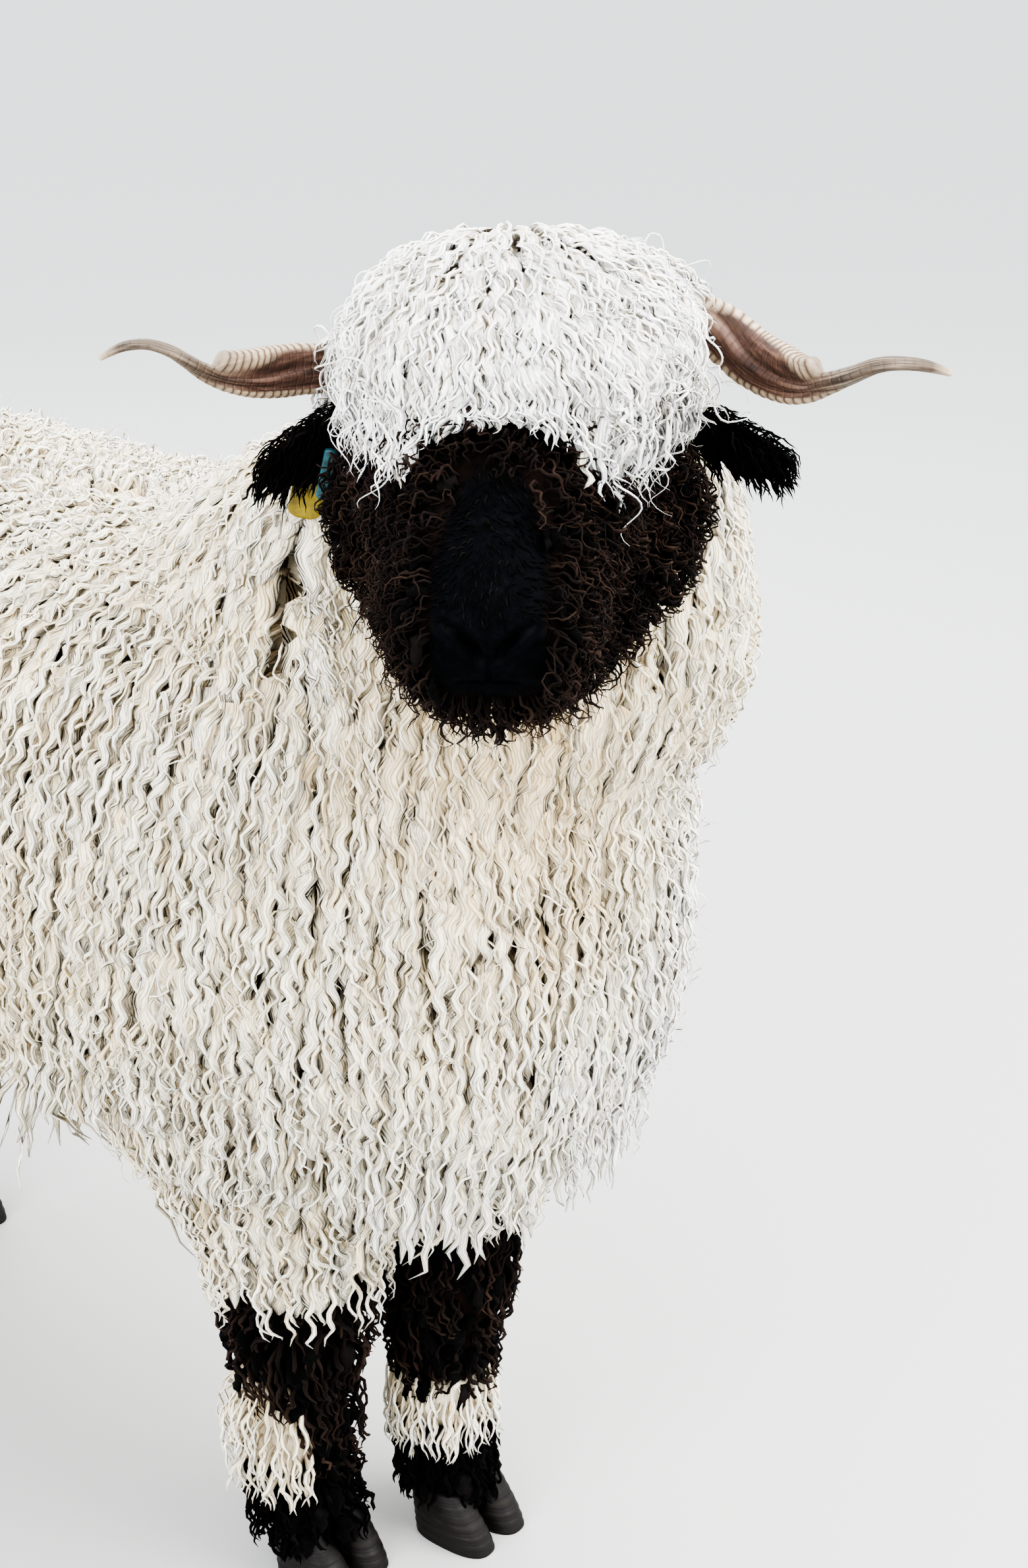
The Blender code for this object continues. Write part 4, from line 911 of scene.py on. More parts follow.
def coat_pieces(name, locks, material, slot_name):
    """Locks as pieces, none over a piece's limit of triangles, split from the sheep's front to its rump."""
    count, rings, _ = locks["path"].shape
    each = (rings - 1) * len(SECTION) * 2 + 2
    pieces = math.ceil(count * each / COAT_LIMIT)
    order = np.argsort(locks["path"][:, 0, 1], kind="stable")
    for index, picked in enumerate(np.array_split(order, pieces)):
        label = name if pieces == 1 else f"{name}_{index + 1}"
        dress(lock_mesh(label, part_of(locks, picked)), material, slot_name)


# ---------------------------------------------------------------- materials
WHITE = (1.0, 1.0, 1.0)


class Shading:
    """A material with a Principled shader and short ways to add nodes to it."""

    def __init__(self, name):
        self.material = bpy.data.materials.new(name)
        self.material.use_nodes = True
        self.tree = self.material.node_tree
        self.shader = self.tree.nodes["Principled BSDF"]

    def put(self, socket, value):
        if isinstance(value, bpy.types.NodeSocket):
            self.tree.links.new(value, socket)
        elif isinstance(value, tuple) and socket.type == "RGBA":
            socket.default_value = (*value, 1.0)
        else:
            socket.default_value = value

    def node(self, kind, inputs=None, output=0, **settings):
        made = self.tree.nodes.new("ShaderNode" + kind)
        for key, value in settings.items():
            setattr(made, key, value)
        for key, value in (inputs or {}).items():
            self.put(made.inputs[key], value)
        return made.outputs[output]

    def attribute(self, name):
        return self.node("Attribute", output="Fac", attribute_name=name)

    def place(self):
        return self.node("TexCoord", output="Object")

    def noise(self, scale, detail=3.0, vector=None, roughness=0.55):
        inputs = {"Vector": vector or self.place(), "Scale": scale, "Detail": detail, "Roughness": roughness}
        return self.node("TexNoise", inputs, "Fac")

    def stretched(self, vector, scale):
        return self.node("Mapping", {"Vector": vector, "Scale": scale}, "Vector")

    def math(self, operation, a, b=0.0):
        return self.node("Math", {0: a, 1: b}, operation=operation)

    def total(self, *terms):
        """The sum of values, each times its weight."""
        made = None
        for value, weight in terms:
            part = self.math("MULTIPLY", value, weight)
            made = part if made is None else self.math("ADD", made, part)
        return made

    def ramp(self, value, stops):
        made = self.tree.nodes.new("ShaderNodeValToRGB")
        self.tree.links.new(value, made.inputs["Fac"])
        band = made.color_ramp
        while len(band.elements) < len(stops):
            band.elements.new(0.5)
        for element, (at, colour) in zip(band.elements, stops):
            element.position = at
            element.color = (*colour, 1.0)
        return made.outputs["Color"]

    def span(self, value, low, high, start=0.0, end=1.0):
        """From one grey to another as a value goes from low to high."""
        return self.ramp(value, ((low, (start,) * 3), (high, (end,) * 3)))

    def mix(self, share, a, b, blend="MIX"):
        return self.node("Mix", {0: share, 6: a, 7: b}, 2, data_type="RGBA", blend_type=blend)

    def tinted(self, colour, *tints):
        for tint in tints:
            colour = self.mix(1.0, colour, tint, "MULTIPLY")
        return colour

    def bump(self, height, strength, distance, before=None):
        inputs = {"Height": height, "Strength": strength, "Distance": distance}
        if before:
            inputs["Normal"] = before
        return self.node("Bump", inputs, "Normal")

    def finish(self, **values):
        for key, value in values.items():
            self.put(self.shader.inputs[key.replace("_", " ")], value)
        return self.material


def fibres(s, strand=0.0027, along=42.0):
    """Strands side by side that run the length of each lock and wave with it, with fine fibres on them."""
    spot = s.node("SeparateXYZ", {"Vector": s.node("UVMap", output="UV", uv_map="Fibre")}).node.outputs
    crimp = s.math("MULTIPLY", s.math("SINE", s.attribute("phase")), s.attribute("sway"))
    aside = s.math("SUBTRACT", spot["X"], crimp)
    vector = s.node("CombineXYZ", {
        "X": s.math("MULTIPLY", aside, 0.4 / strand), "Y": s.math("MULTIPLY", spot["Y"], along),
        "Z": s.math("MULTIPLY", s.attribute("tint"), 20.0),
    })
    turn = s.total((aside, math.pi / strand), (s.noise(1.0, 2.0, vector, 0.5), 11.0))
    ridge = s.math("ABSOLUTE", s.math("SINE", turn))
    fine = s.noise(1.0, 2.0, s.stretched(vector, (8.0, 1.4, 1.0)), 0.6)
    return s.total((ridge, 0.55), (fine, 0.45))


def white_colour(s, shade):
    """Cream to white, in wide patches and finer ones, whiter where light is painted on; `shade` lightens or
    darkens single locks.
    """
    painted_light = s.math("SUBTRACT", 1.0, s.attribute("painted_shade"))
    return s.ramp(s.total((s.noise(4.5, 2.0), 0.42), (painted_light, 0.42), (s.noise(55.0), 0.18), (shade, 0.12)), (
        (0.32, (0.78, 0.65, 0.45)), (0.46, (0.87, 0.78, 0.61)),
        (0.60, (0.93, 0.89, 0.78)), (0.76, (0.97, 0.965, 0.95)),
    ))


def white_wool():
    s = Shading("white_wool")
    # Painted shade: each lock darker and creamier towards its root, deep in the fleece
    root = s.ramp(
        s.attribute("along"), ((0.0, (0.88, 0.78, 0.63)), (0.30, (0.97, 0.94, 0.88)), (0.60, WHITE)),
    )
    # Painted shade: locks that lie lower in the fleece are darker and creamier
    deep = s.ramp(
        s.attribute("depth"), ((0.0, (0.90, 0.82, 0.68)), (0.20, (0.96, 0.92, 0.85)), (0.50, WHITE)),
    )
    fibre = fibres(s)
    # Painted shade in the grooves between the strands, stronger where the wool is painted as shaded
    streak = s.ramp(fibre, ((0.22, (0.74, 0.62, 0.46)), (0.38, (0.93, 0.88, 0.80)), (0.55, WHITE)))
    streak = s.mix(s.span(s.attribute("painted_shade"), 0.0, 0.5, 0.25), WHITE, streak)
    return s.finish(
        Base_Color=s.tinted(white_colour(s, s.attribute("tint")), root, deep, streak), Roughness=0.62,
        Specular_IOR_Level=0.28, Sheen_Weight=0.20, Sheen_Roughness=0.45, Sheen_Tint=(1.0, 0.98, 0.94),
        Subsurface_Weight=0.20, Subsurface_Radius=(1.0, 0.90, 0.75), Subsurface_Scale=0.005,
        Normal=s.bump(fibre, 0.9, 0.0024),
    )


def dark_wool():
    s = Shading("dark_wool")
    colour = s.ramp(s.total((s.noise(30.0), 0.65), (s.attribute("tint"), 0.35)), (
        (0.34, (0.004, 0.003, 0.003)), (0.52, (0.013, 0.008, 0.0065)), (0.68, (0.032, 0.019, 0.014)),
        (0.85, (0.070, 0.042, 0.030)),
    ))
    # Painted shade towards the roots, deep among the curls; lighter brown towards the tips
    tip = s.ramp(s.attribute("along"), ((0.0, (0.45, 0.45, 0.45)), (0.5, WHITE), (1.0, (1.3, 1.2, 1.1))))
    return s.finish(
        Base_Color=s.tinted(colour, tip), Roughness=0.75, Specular_IOR_Level=0.08, Sheen_Weight=0.04,
        Sheen_Roughness=0.5, Sheen_Tint=(0.75, 0.55, 0.45),
        Normal=s.bump(fibres(s, 0.0010, 60.0), 0.6, 0.0008),
    )


def black_hair():
    s = Shading("black_hair")
    colour = s.ramp(s.total((s.noise(40.0), 0.6), (s.attribute("tint"), 0.4)), (
        (0.35, (0.0015, 0.0015, 0.0018)), (0.60, (0.0040, 0.0036, 0.0038)), (0.85, (0.014, 0.011, 0.010)),
    ))
    return s.finish(
        Base_Color=colour, Roughness=0.80, Specular_IOR_Level=0.03, Sheen_Weight=0.01, Sheen_Roughness=0.4,
        Normal=s.bump(fibres(s, 0.0008, 90.0), 0.4, 0.0006),
    )


def skin_material():
    """White ground with painted shade, brown-black and blue-black ground under the coat, and the nostrils'
    dark lining with painted shade.
    """
    s = Shading("skin")
    dark = s.ramp(s.noise(45.0, 4.0), (
        (0.35, (0.0025, 0.002, 0.002)), (0.6, (0.008, 0.005, 0.004)), (0.8, (0.019, 0.011, 0.008)),
    ))
    bare = s.ramp(s.noise(160.0, 4.0), (
        (0.30, (0.0008, 0.0010, 0.0014)), (0.62, (0.0020, 0.0024, 0.0034)), (0.85, (0.006, 0.0065, 0.008)),
    ))
    # Painted shade: the white ground is tinted beige like wool in shade, so gaps in the coat show shaded wool
    colour = s.tinted(white_colour(s, s.noise(18.0)), (0.88, 0.82, 0.72))
    # dark and bare are markings; the nostrils' lining is partly painted shade
    for key, over in (("dark", dark), ("bare", bare), ("slit_lining_and_shade", (0.006, 0.006, 0.007))):
        colour = s.mix(s.attribute(key), colour, over)
    hairs = s.noise(1.0, 3.0, s.stretched(s.place(), (900.0, 900.0, 320.0)))
    return s.finish(
        Base_Color=colour, Roughness=s.span(s.attribute("bare"), 0.0, 1.0, 0.85, 0.60),
        Specular_IOR_Level=0.03,
        Normal=s.bump(hairs, 0.35, 0.0008, s.bump(s.noise(260.0, 4.0), 0.5, 0.0025)),
    )


def horn_material():
    """Cream with thin brown lines between ribs, red-brown in the hollow, grey-brown towards the light tip."""
    s = Shading("horn")
    along, reach, face, turn = (s.attribute(key) for key in ("along", "reach", "face", "turn"))
    ribs = s.math("ABSOLUTE", s.math("SINE", s.total((reach, math.pi / HORN_RIB), (s.noise(60.0), 1.6))))
    lines = s.noise(1.0, 4.0, s.node("CombineXYZ", {
        "X": s.math("MULTIPLY", turn, 9.0), "Y": s.math("MULTIPLY", reach, 34.0), "Z": 0.0}))
    cream = s.ramp(ribs, (
        (0.05, (0.10, 0.06, 0.036)), (0.28, (0.24, 0.165, 0.11)),
        (0.60, (0.38, 0.29, 0.20)), (0.95, (0.5, 0.4, 0.29)),
    ))
    brown = s.ramp(lines, (
        (0.32, (0.030, 0.016, 0.012)), (0.50, (0.085, 0.043, 0.031)), (0.72, (0.20, 0.120, 0.085)),
    ))
    grey = s.ramp(lines, (
        (0.34, (0.030, 0.021, 0.015)), (0.50, (0.095, 0.068, 0.048)), (0.68, (0.26, 0.205, 0.15)),
    ))
    shown = s.math("ADD", face, s.math("MULTIPLY", s.math("SUBTRACT", lines, 0.5), 0.5))
    speck = s.noise(70.0, 5.0)
    colour = s.mix(s.span(shown, 0.22, 0.50), cream, brown)
    colour = s.mix(s.span(along, 0.50, 0.68), colour, grey)
    colour = s.mix(s.span(along, 0.93, 0.995, 0.0, 0.8), colour, (0.55, 0.44, 0.31))
    colour = s.mix(s.span(speck, 0.54, 0.72, 0.0, 0.55), colour, (0.09, 0.055, 0.036))
    height = s.total((s.math("MINIMUM", ribs, 0.5), 0.8), (lines, 0.8))
    return s.finish(Base_Color=colour, Roughness=s.span(speck, 0.3, 0.8, 0.45, 0.70), Specular_IOR_Level=0.35,
                    Normal=s.bump(height, 0.6, 0.0012))


def hoof_material():
    s = Shading("hoof")
    height = s.node("SeparateXYZ", {"Vector": s.place()}, "Z")
    bands = s.noise(1.0, 4.0, s.node("CombineXYZ", {
        "X": s.math("MULTIPLY", height, 260.0), "Y": s.noise(8.0), "Z": 0.0}))
    speck = s.noise(120.0, 5.0)
    colour = s.ramp(s.total((bands, 0.6), (speck, 0.4)), (
        (0.30, (0.002, 0.0016, 0.0013)), (0.52, (0.006, 0.0045, 0.004)), (0.75, (0.020, 0.015, 0.011))))
    return s.finish(
        Base_Color=colour, Roughness=s.span(speck, 0.3, 0.75, 0.45, 0.75), Specular_IOR_Level=0.25,
        Normal=s.bump(s.total((bands, 1.0), (speck, 0.6)), 0.7, 0.0012),
    )


def eye_material():
    """Dark amber iris with a level, slot-shaped pupil under a wet cornea."""
    s = Shading("eye")
    iris = s.ramp(s.noise(420.0), ((0.3, (0.045, 0.018, 0.006)), (0.7, (0.15, 0.070, 0.022))))
    iris = s.mix(s.span(s.attribute("slot"), 0.92, 1.08, 1.0, 0.0), iris, (0.002, 0.002, 0.002))
    colour = s.mix(s.span(s.attribute("iris"), 0.92, 1.06), iris, (0.030, 0.018, 0.014))
    return s.finish(
        Base_Color=colour, Roughness=0.06, Coat_Weight=1.0, Coat_Roughness=0.03, Specular_IOR_Level=0.6,
    )


def tag_material(name, dark, light):
    s = Shading(name)
    scuff = s.noise(210.0, 5.0)
    dirt = s.span(s.noise(38.0, 4.0), 0.52, 0.80, 0.0, 0.5)
    colour = s.mix(dirt, s.ramp(scuff, ((0.35, dark), (0.70, light))), tuple(c * 0.35 for c in dark))
    rough = s.span(scuff, 0.3, 0.8, 0.34, 0.62)
    return s.finish(Base_Color=colour, Roughness=rough, Normal=s.bump(scuff, 0.25, 0.0004))


# ---------------------------------------------------------------- where each coat grows
BRIDGE_HALF = 0.0105                 # half the short-haired strip over the nose
MUZZLE_WIDER = 0.0155
CHIN_EDGE = -0.034                   # the lower edge of the short hair, in the head's frame
CHEEK_LOWER = 0.024
BROW = 0.010                         # the forelock's edge over the head's middle, and its fall to the sides
BROW_SLOPE = 0.95
TEMPLE_DROP = 0.020
NAPE_DROP = 0.14
NEAR_HEAD = 0.50                     # how high the body's wool lies beside the head, as a share
HEAD_CLEAR = 0.080                   # from here on it has its full height


def facts(places, ways, form):
    """What each place of the skin is: the numbers that the markings and the coats are decided by."""
    at = head_local(places)
    half = folded(at)
    return dict(
        place=places, at=at, side=half[:, 0],
        eye=np.linalg.norm(half - np.array(EYE_AT), axis=1),
        nostril=segment_distance(half, NOSTRIL)[0],
        mouth=segment_distance(half, MOUTH)[0],
        skull=form == FORM["skull"], cap=form == FORM["cap"],
        ear=(form == FORM["ear_left"]) | (form == FORM["ear_right"]),
        leg=form >= FORM["foreleg_right"], tail=form == FORM["tail"],
        trunk=(form == FORM["torso"]) | (form == FORM["neck"]), neck=form == FORM["neck"],
        black_low=np.where(form == FORM["foreleg_left"], LEFT_BLACK[0], SHANK_TOP),
        black_top=np.choose(np.clip(form - FORM["foreleg_right"], 0, 2), (KNEE_TOP, LEFT_BLACK[1], HOCK_TOP)),
        z=places[:, 2], out=ways, brow=crown_hem(places),
    )


def bareness(f):
    """1 on the short-haired muzzle, 0 in the curls."""
    at = f["at"]
    half = BRIDGE_HALF + MUZZLE_WIDER * smoothstep(-0.075, -0.135, at[:, 1])
    strip = smoothstep(half + 0.004, half - 0.003, f["side"])
    chin = CHIN_EDGE - CHEEK_LOWER * smoothstep(-0.155, -0.105, at[:, 1])
    above_chin = smoothstep(chin - 0.004, chin + 0.004, at[:, 2])
    return strip * smoothstep(-0.080, -0.102, at[:, 1]) * above_chin * f["skull"]


def crown_part(f):
    """The white top of the head, down to where the forelock's tips reach."""
    top = f["cap"] | (f["skull"] & ((f["at"][:, 2] > 0.056) | (f["at"][:, 1] > 0.062)))
    return top & (f["z"] > f["brow"] - 0.003) & ((f["at"][:, 2] > 0.028) | (f["at"][:, 1] > 0.05))


def face_part(f):
    return (f["skull"] | f["cap"]) & ~crown_part(f)


def black_leg(f):
    """The black parts of the legs: knees or hocks, feet, and a streak down the right foreleg's inner side."""
    bend = (f["z"] > f["black_low"] - 0.004) & (f["z"] < f["black_top"] + 0.008)
    foot = f["z"] < FOOT_TOP
    middle = FORE_RIGHT.x * (1 + LEG_LEAN * SHANK_TOP / LEG_ROOT), FORE_RIGHT.y + 0.010
    x, y = f["place"][:, 0], f["place"][:, 1]
    inner = (x - middle[0]) * 0.62 - (y - middle[1]) * 0.79
    streak = (inner > 0.006 + 0.012 * field(f["place"], 55, 33)) & (y < 0) & (x < BETWEEN_LEGS)
    return f["leg"] & (bend | foot | streak & (f["z"] < SHANK_TOP))


def paint_skin(thing, ground):
    """The markings as numbers on the skin's points, from the same rules as the coats."""
    f = facts(ground.points, read(thing.data.vertices, "normal", 3), ground.form)
    dark = face_part(f) | f["ear"] | black_leg(f)
    # The nostrils' dark skin, with painted shade for the depth of the slits
    slit_lining_and_shade = smoothstep(0.0036, 0.0020, f["nostril"]) * f["skull"]
    store(thing.data, dict(dark=dark * 1.0, bare=bareness(f), slit_lining_and_shade=slit_lining_and_shade, painted_shade=painted_shade_at(ground.points)))


# Where the painted shade below the chin and the painted light on the left breast are centred, and how far each
# reaches
CHIN_WOOL = (-0.06, -0.46, 0.62), 0.09
BREAST_WOOL = (0.11, -0.42, 0.49), 0.14
BRISKET_HEM = 0.300
BREAST_HIGHER = 0.035                # the breast's hem rises to the left
BELLY_HEM = 0.328
THIGH_HEM = 0.385
SLEEVE_HEM = (0.240, 0.212, 0.258)   # hind legs, right foreleg, left foreleg
LEG_FULLNESS = (1.0, 1.55, 0.75)
UPPER_LEG = 0.335                    # from here up the legs' wool is the fleece
SLEEVE_TOP = 0.345
BELLY_TOP = 0.60
BELLY_SLOPE = -0.45                  # what faces further down than this is the belly


def painted_shade_at(places):
    """Painted shade as cream on the white wool: least on the lit forelock and left breast, most below the chin
    and on the flank.
    """
    chin, breast = (
        np.exp(-((places - np.array(at)) ** 2).sum(1) / reach**2) for at, reach in (CHIN_WOOL, BREAST_WOOL)
    )
    flank = smoothstep(-0.04, -0.18, places[:, 0]) * smoothstep(-0.34, -0.12, places[:, 1])
    crown = smoothstep(0.77, 0.85, places[:, 2])
    return np.clip(0.50 + 0.45 * chin + 0.35 * flank - 0.40 * breast - 0.50 * crown, 0, 1)


def body_hem(places):
    """The height that the fleece's tips reach down to."""
    front = smoothstep(-0.36, -0.40, places[:, 1])
    rear = smoothstep(0.14, 0.20, places[:, 1])
    left = BREAST_HIGHER * smoothstep(0.02, 0.11, places[:, 0])
    return BELLY_HEM * (1 - front) * (1 - rear) + (BRISKET_HEM + left) * front + THIGH_HEM * rear


def body_lie(places):
    """Out from the spine and down the flanks, straight down the chest, back over the rump."""
    x, y = places[:, 0], places[:, 1]
    chest = smoothstep(-0.30, -0.40, y)
    out = np.tanh(x / 0.030 + 1.6 * field(places, 60, 12)) * (0.85 - 0.6 * chest)
    back = 0.20 - 0.16 * chest + 0.5 * smoothstep(0.34, 0.46, y)
    wander = field(places, 5, 11) * 0.16
    return np.stack((out, back + wander, np.full(len(x), -1.0)), 1)


def neck_lie(places):
    x = places[:, 0]
    wander = field(places, 7, 13) * 0.25
    out = np.tanh((x - 0.01) / 0.06) * 0.55
    return np.stack((out + wander, np.full(len(x), -0.10), np.full(len(x), -1.0)), 1)


def gusts(places, scale, *seeds):
    """A smooth random direction at each place."""
    return np.stack([field(places, scale, seed) for seed in seeds], 1)


def crown_lie(places):
    """Out over the head from the crown."""
    way = unit((head_local(places) - np.array(CROWN)) * (1.7, 1.0, 1.0)) @ HEAD_TURNED.T
    return way + DOWN * 0.25 + gusts(places, 16, 5, 6, 7) * 0.25


def cheek_lie(places):
    """Away from the bridge of the nose and down, in whorls."""
    side = np.tanh(head_local(places)[:, 0] / 0.03)
    lie = np.stack((side * 0.7, 0.25 + 0 * side, -0.75 + 0 * side), 1) @ HEAD_TURNED.T
    return lie + gusts(places, 34, 5, 6, 7) * 1.1


def hanging(places):
    return DOWN + np.hstack((gusts(places, 14, 8, 9), np.zeros((len(places), 1)))) * 0.35


def ear_lie(places):
    at = head_local(places)
    made = np.empty_like(places)
    for sign in (1, -1):
        way = np.array(head_way(EAR_TIP[sign] - mirrored(EAR_ROOT, sign)).normalized())
        made[at[:, 0] * sign > 0] = way
    return made + DOWN * 0.15


TAPER = ((0.0, 0.7), (0.30, 1.0), (0.72, 0.85), (0.92, 0.45), (1.0, 0.10))
CURL_TAPER = ((0.0, 0.8), (0.5, 1.0), (0.85, 0.55), (1.0, 0.12))
# What a style says: a lock's length and width, its height over the ground it grows on (lift, and deep for the
# lowest share of it), rings along it, how fast it falls (droop) and from which slope it lies on (hang), its
# waves (wave, wavelength, curl at the tip, coil, unrest, beat), how it strays and gathers, and which ground
# it keeps to (group).
# shown: how high a lock counts for its colour; the lower, the more painted shade white_wool gives it.
LOCK = dict(sink=0.006, stray=0.1, deep=0.3, start=0.25, hang=-0.55, unrest=0.45, curl=0.3, coil=0.5,
            shown=1.0, gather=0.0, fringe=0.0, horns=False, beat=fallen, shape=TAPER)
FLEECE = dict(LOCK, length=0.052, lift=0.0275, rings=12, droop=0.42, wave=0.0017, wavelength=0.0210,
              width=0.0074, thick=0.40, curl=0.6, coil=0.6, stray=0.06, deep=0.80, gather=0.15, fringe=0.6,
              group="wool")
STRANDS = dict(FLEECE, length=0.046, lift=0.0305, rings=13, wave=0.0019, width=0.0029, thick=0.65,
               curl=0.9, coil=0.8, stray=0.10, deep=0.86, gather=0.25)
WISPS = dict(FLEECE, length=0.036, lift=0.035, rings=10, wave=0.0028, wavelength=0.0190, width=0.0014,
             thick=0.7, curl=1.5, coil=0.9, stray=0.30, deep=0.80, gather=0.0, unrest=3.0, flick=0.005)
# The under mats get more painted shade than the locks over them (shown).
UNDER = dict(FLEECE, length=0.064, lift=0.0235, rings=6, width=0.021, thick=0.20, wave=0.0010,
             wavelength=0.0275, curl=0.2, gather=0.0, deep=0.82, start=0.6, fringe=0.0, hang=-0.95, shown=0.5)
BELLY = dict(FLEECE, length=0.075, lift=0.016, rings=10, wavelength=0.0275)
CROWN_UNDER = dict(UNDER, length=0.040, lift=0.0085, width=0.012, hang=-0.55, group="head")
SLEEVE_UNDER = dict(UNDER, group="body", length=0.046, lift=0.0190, width=0.017, deep=0.7)
NECK_WOOL = dict(FLEECE, length=0.045, lift=0.024, rings=12, wave=0.0014, wavelength=0.0160, coil=0.7,
                 curl=0.7, width=0.0056, stray=0.12, unrest=0.7)
NECK_STRANDS = dict(STRANDS, length=0.040, lift=0.0275, rings=13, wave=0.0017, wavelength=0.0190, coil=0.9,
                    curl=0.9, width=0.0024, stray=0.14, unrest=0.7)
FORELOCK = dict(LOCK, length=0.058, lift=0.0095, rings=14, droop=0.28, wave=0.0014, wavelength=0.0190,
                width=0.0064, thick=0.42, curl=0.8, coil=0.7, stray=0.08, unrest=0.5, deep=0.60, gather=0.2,
                horns=True, beat=from_crown, group="head")
FRINGE = dict(FORELOCK, length=0.060, lift=0.0125, rings=19, wave=0.0015, wavelength=0.0175, width=0.0022,
              thick=0.7, curl=1.1, coil=0.9, stray=0.10, flick=0.003, gather=0.45)
CURLS = dict(FRINGE, length=0.072, lift=0.0150, rings=32, wave=0.0048, wavelength=0.0270, width=0.0015,
             curl=0.4, coil=1.0, stray=0.25, unrest=3.0, gather=0.0, flick=0.006)
SLEEVE = dict(FLEECE, group="body", lift=0.024, rings=16, wave=0.0018, wavelength=0.0190, coil=0.9, curl=0.9,
              width=0.0036, thick=0.6, stray=0.2, unrest=1.2, gather=0.35, fringe=0.0)
SHANK = dict(SLEEVE, length=0.046, lift=0.014, rings=12, width=0.0031, deep=0.4, wave=0.0014,
             wavelength=0.022)
TAIL_WOOL = dict(FLEECE, group="body", length=0.085, lift=0.018, rings=20, width=0.0050, thick=0.6,
                 fringe=0.0)
FACE = dict(LOCK, length=0.021, lift=0.0115, sink=0.003, rings=11, droop=0.3, wave=0.0022,
            wavelength=0.0105, width=0.0017, thick=0.75, shape=CURL_TAPER, curl=0.5, coil=0.95, stray=0.45,
            unrest=2.0, deep=0.35, flick=0.002, start=0.4, gather=0.55, group="head")
FACE_UNDER = dict(FACE, length=0.017, lift=0.0080, rings=6, width=0.0085, thick=0.25, wave=0.0010,
                  gather=0.0, flick=0)
FACE_WISPS = dict(FACE, length=0.022, lift=0.0150, rings=9, width=0.0011, wavelength=0.0150, flick=0.006,
                  gather=0.0)
KNEE = dict(FACE, length=0.030, lift=0.0095, rings=9, stray=0.30, width=0.0031, wave=0.0018, wavelength=0.014,
            group="body")
LEG_UNDER = dict(FACE_UNDER, length=0.021, lift=0.0085, width=0.0115, group="body")
FOOT = dict(KNEE, length=0.028, lift=0.0085, wave=0.0016, wavelength=0.016, stray=0.25)
HAIR = dict(LOCK, droop=0.2, wavelength=0.010, thick=0.5, shape=CURL_TAPER, start=0.5, group="head")
EAR_HAIR = dict(HAIR, length=0.017, lift=0.005, sink=0.0015, rings=6, width=0.0018, wave=0.0008, flick=0.002,
                stray=0.3)
MUZZLE_HAIR = dict(HAIR, length=0.0055, lift=0.0011, sink=0.0006, rings=4, width=0.0011, wave=0.0004,
                   stray=0.2)


def crown_hem(places):
    """How low the forelock's tips may reach: over the brow, down beside the eyes, and free at the nape."""
    at = head_local(places)
    side = np.abs(at[:, 0])
    temple = TEMPLE_DROP * smoothstep(0.045, 0.070, side)
    brow = HEAD_AT.z + BROW - BROW_SLOPE * np.maximum(side - 0.012, 0) - temple
    behind = smoothstep(0.030, 0.070, at[:, 1])
    return brow * (1 - behind) + (HEAD_AT.z - NAPE_DROP) * behind


def fuller(places):
    """The wool lies closer on the left of the upper neck."""
    side = smoothstep(0.03, 0.12, places[:, 0]) * smoothstep(0.65, 0.72, places[:, 2])
    return 1 - 0.70 * side * smoothstep(-0.20, -0.32, places[:, 1])


def by_leg(places, hind, right, left):
    """One number for the hind legs, one for the right foreleg and one for the left."""
    return np.where(places[:, 1] > 0, hind, np.where(places[:, 0] < BETWEEN_LEGS, right, left))


def leg_fullness(places):
    """The right foreleg's wool stands out most, the left one's least."""
    return by_leg(places, *LEG_FULLNESS)


def clumps(places):
    """The face's curls stand in rounded clumps."""
    return 1 + 0.45 * field(places, 30, 21)


def on_body(f):
    """On the barrel and the upper legs, above the belly."""
    high = f["leg"] & (f["z"] > UPPER_LEG)
    return (f["trunk"] & ~f["neck"] | high) & ((f["out"][:, 2] > BELLY_SLOPE) | (f["z"] > BELLY_TOP))


def on_belly(f):
    body = f["trunk"] | f["leg"] & (f["z"] > UPPER_LEG)
    return body & (f["out"][:, 2] <= BELLY_SLOPE) & (f["z"] < BELLY_TOP)


def on_neck(f):
    return f["neck"] & (f["out"][:, 2] > -0.97)


def on_crown(f):
    return crown_part(f) & ~in_horns(f["place"])


def on_temples(f):
    return on_crown(f) & (f["side"] > 0.045) & (f["at"][:, 2] < 0.060)


def on_sleeve(f):
    return f["leg"] & (f["z"] > f["black_top"] - 0.004) & (f["z"] < SLEEVE_TOP)


def on_shank(f):
    return f["leg"] & (f["z"] > FOOT_TOP) & (f["z"] < f["black_low"]) & ~black_leg(f)


def on_knee(f):
    return black_leg(f) & (f["z"] > FOOT_TOP)


def on_foot(f):
    return f["leg"] & (f["z"] < FOOT_TOP) & (f["z"] > HOOF_TOP - 0.004)


def on_face(f):
    return face_part(f) & (bareness(f) < 0.5) & (f["eye"] > 0.0215) & (f["out"][:, 2] > -0.98)


def on_cheeks(f):
    return on_face(f) & ((f["side"] > 0.026) | (f["at"][:, 2] < -0.045))


def under_brow(f):
    return on_face(f) & (f["z"] < f["brow"] - 0.014)


def on_muzzle(f):
    near = (f["nostril"] < 0.006) | (f["mouth"] < 0.004) | (f["at"][:, 1] < -0.162)
    return f["skull"] & (bareness(f) >= 0.3) & ~near


def sleeve_hem(places):
    return by_leg(places, *SLEEVE_HEM)


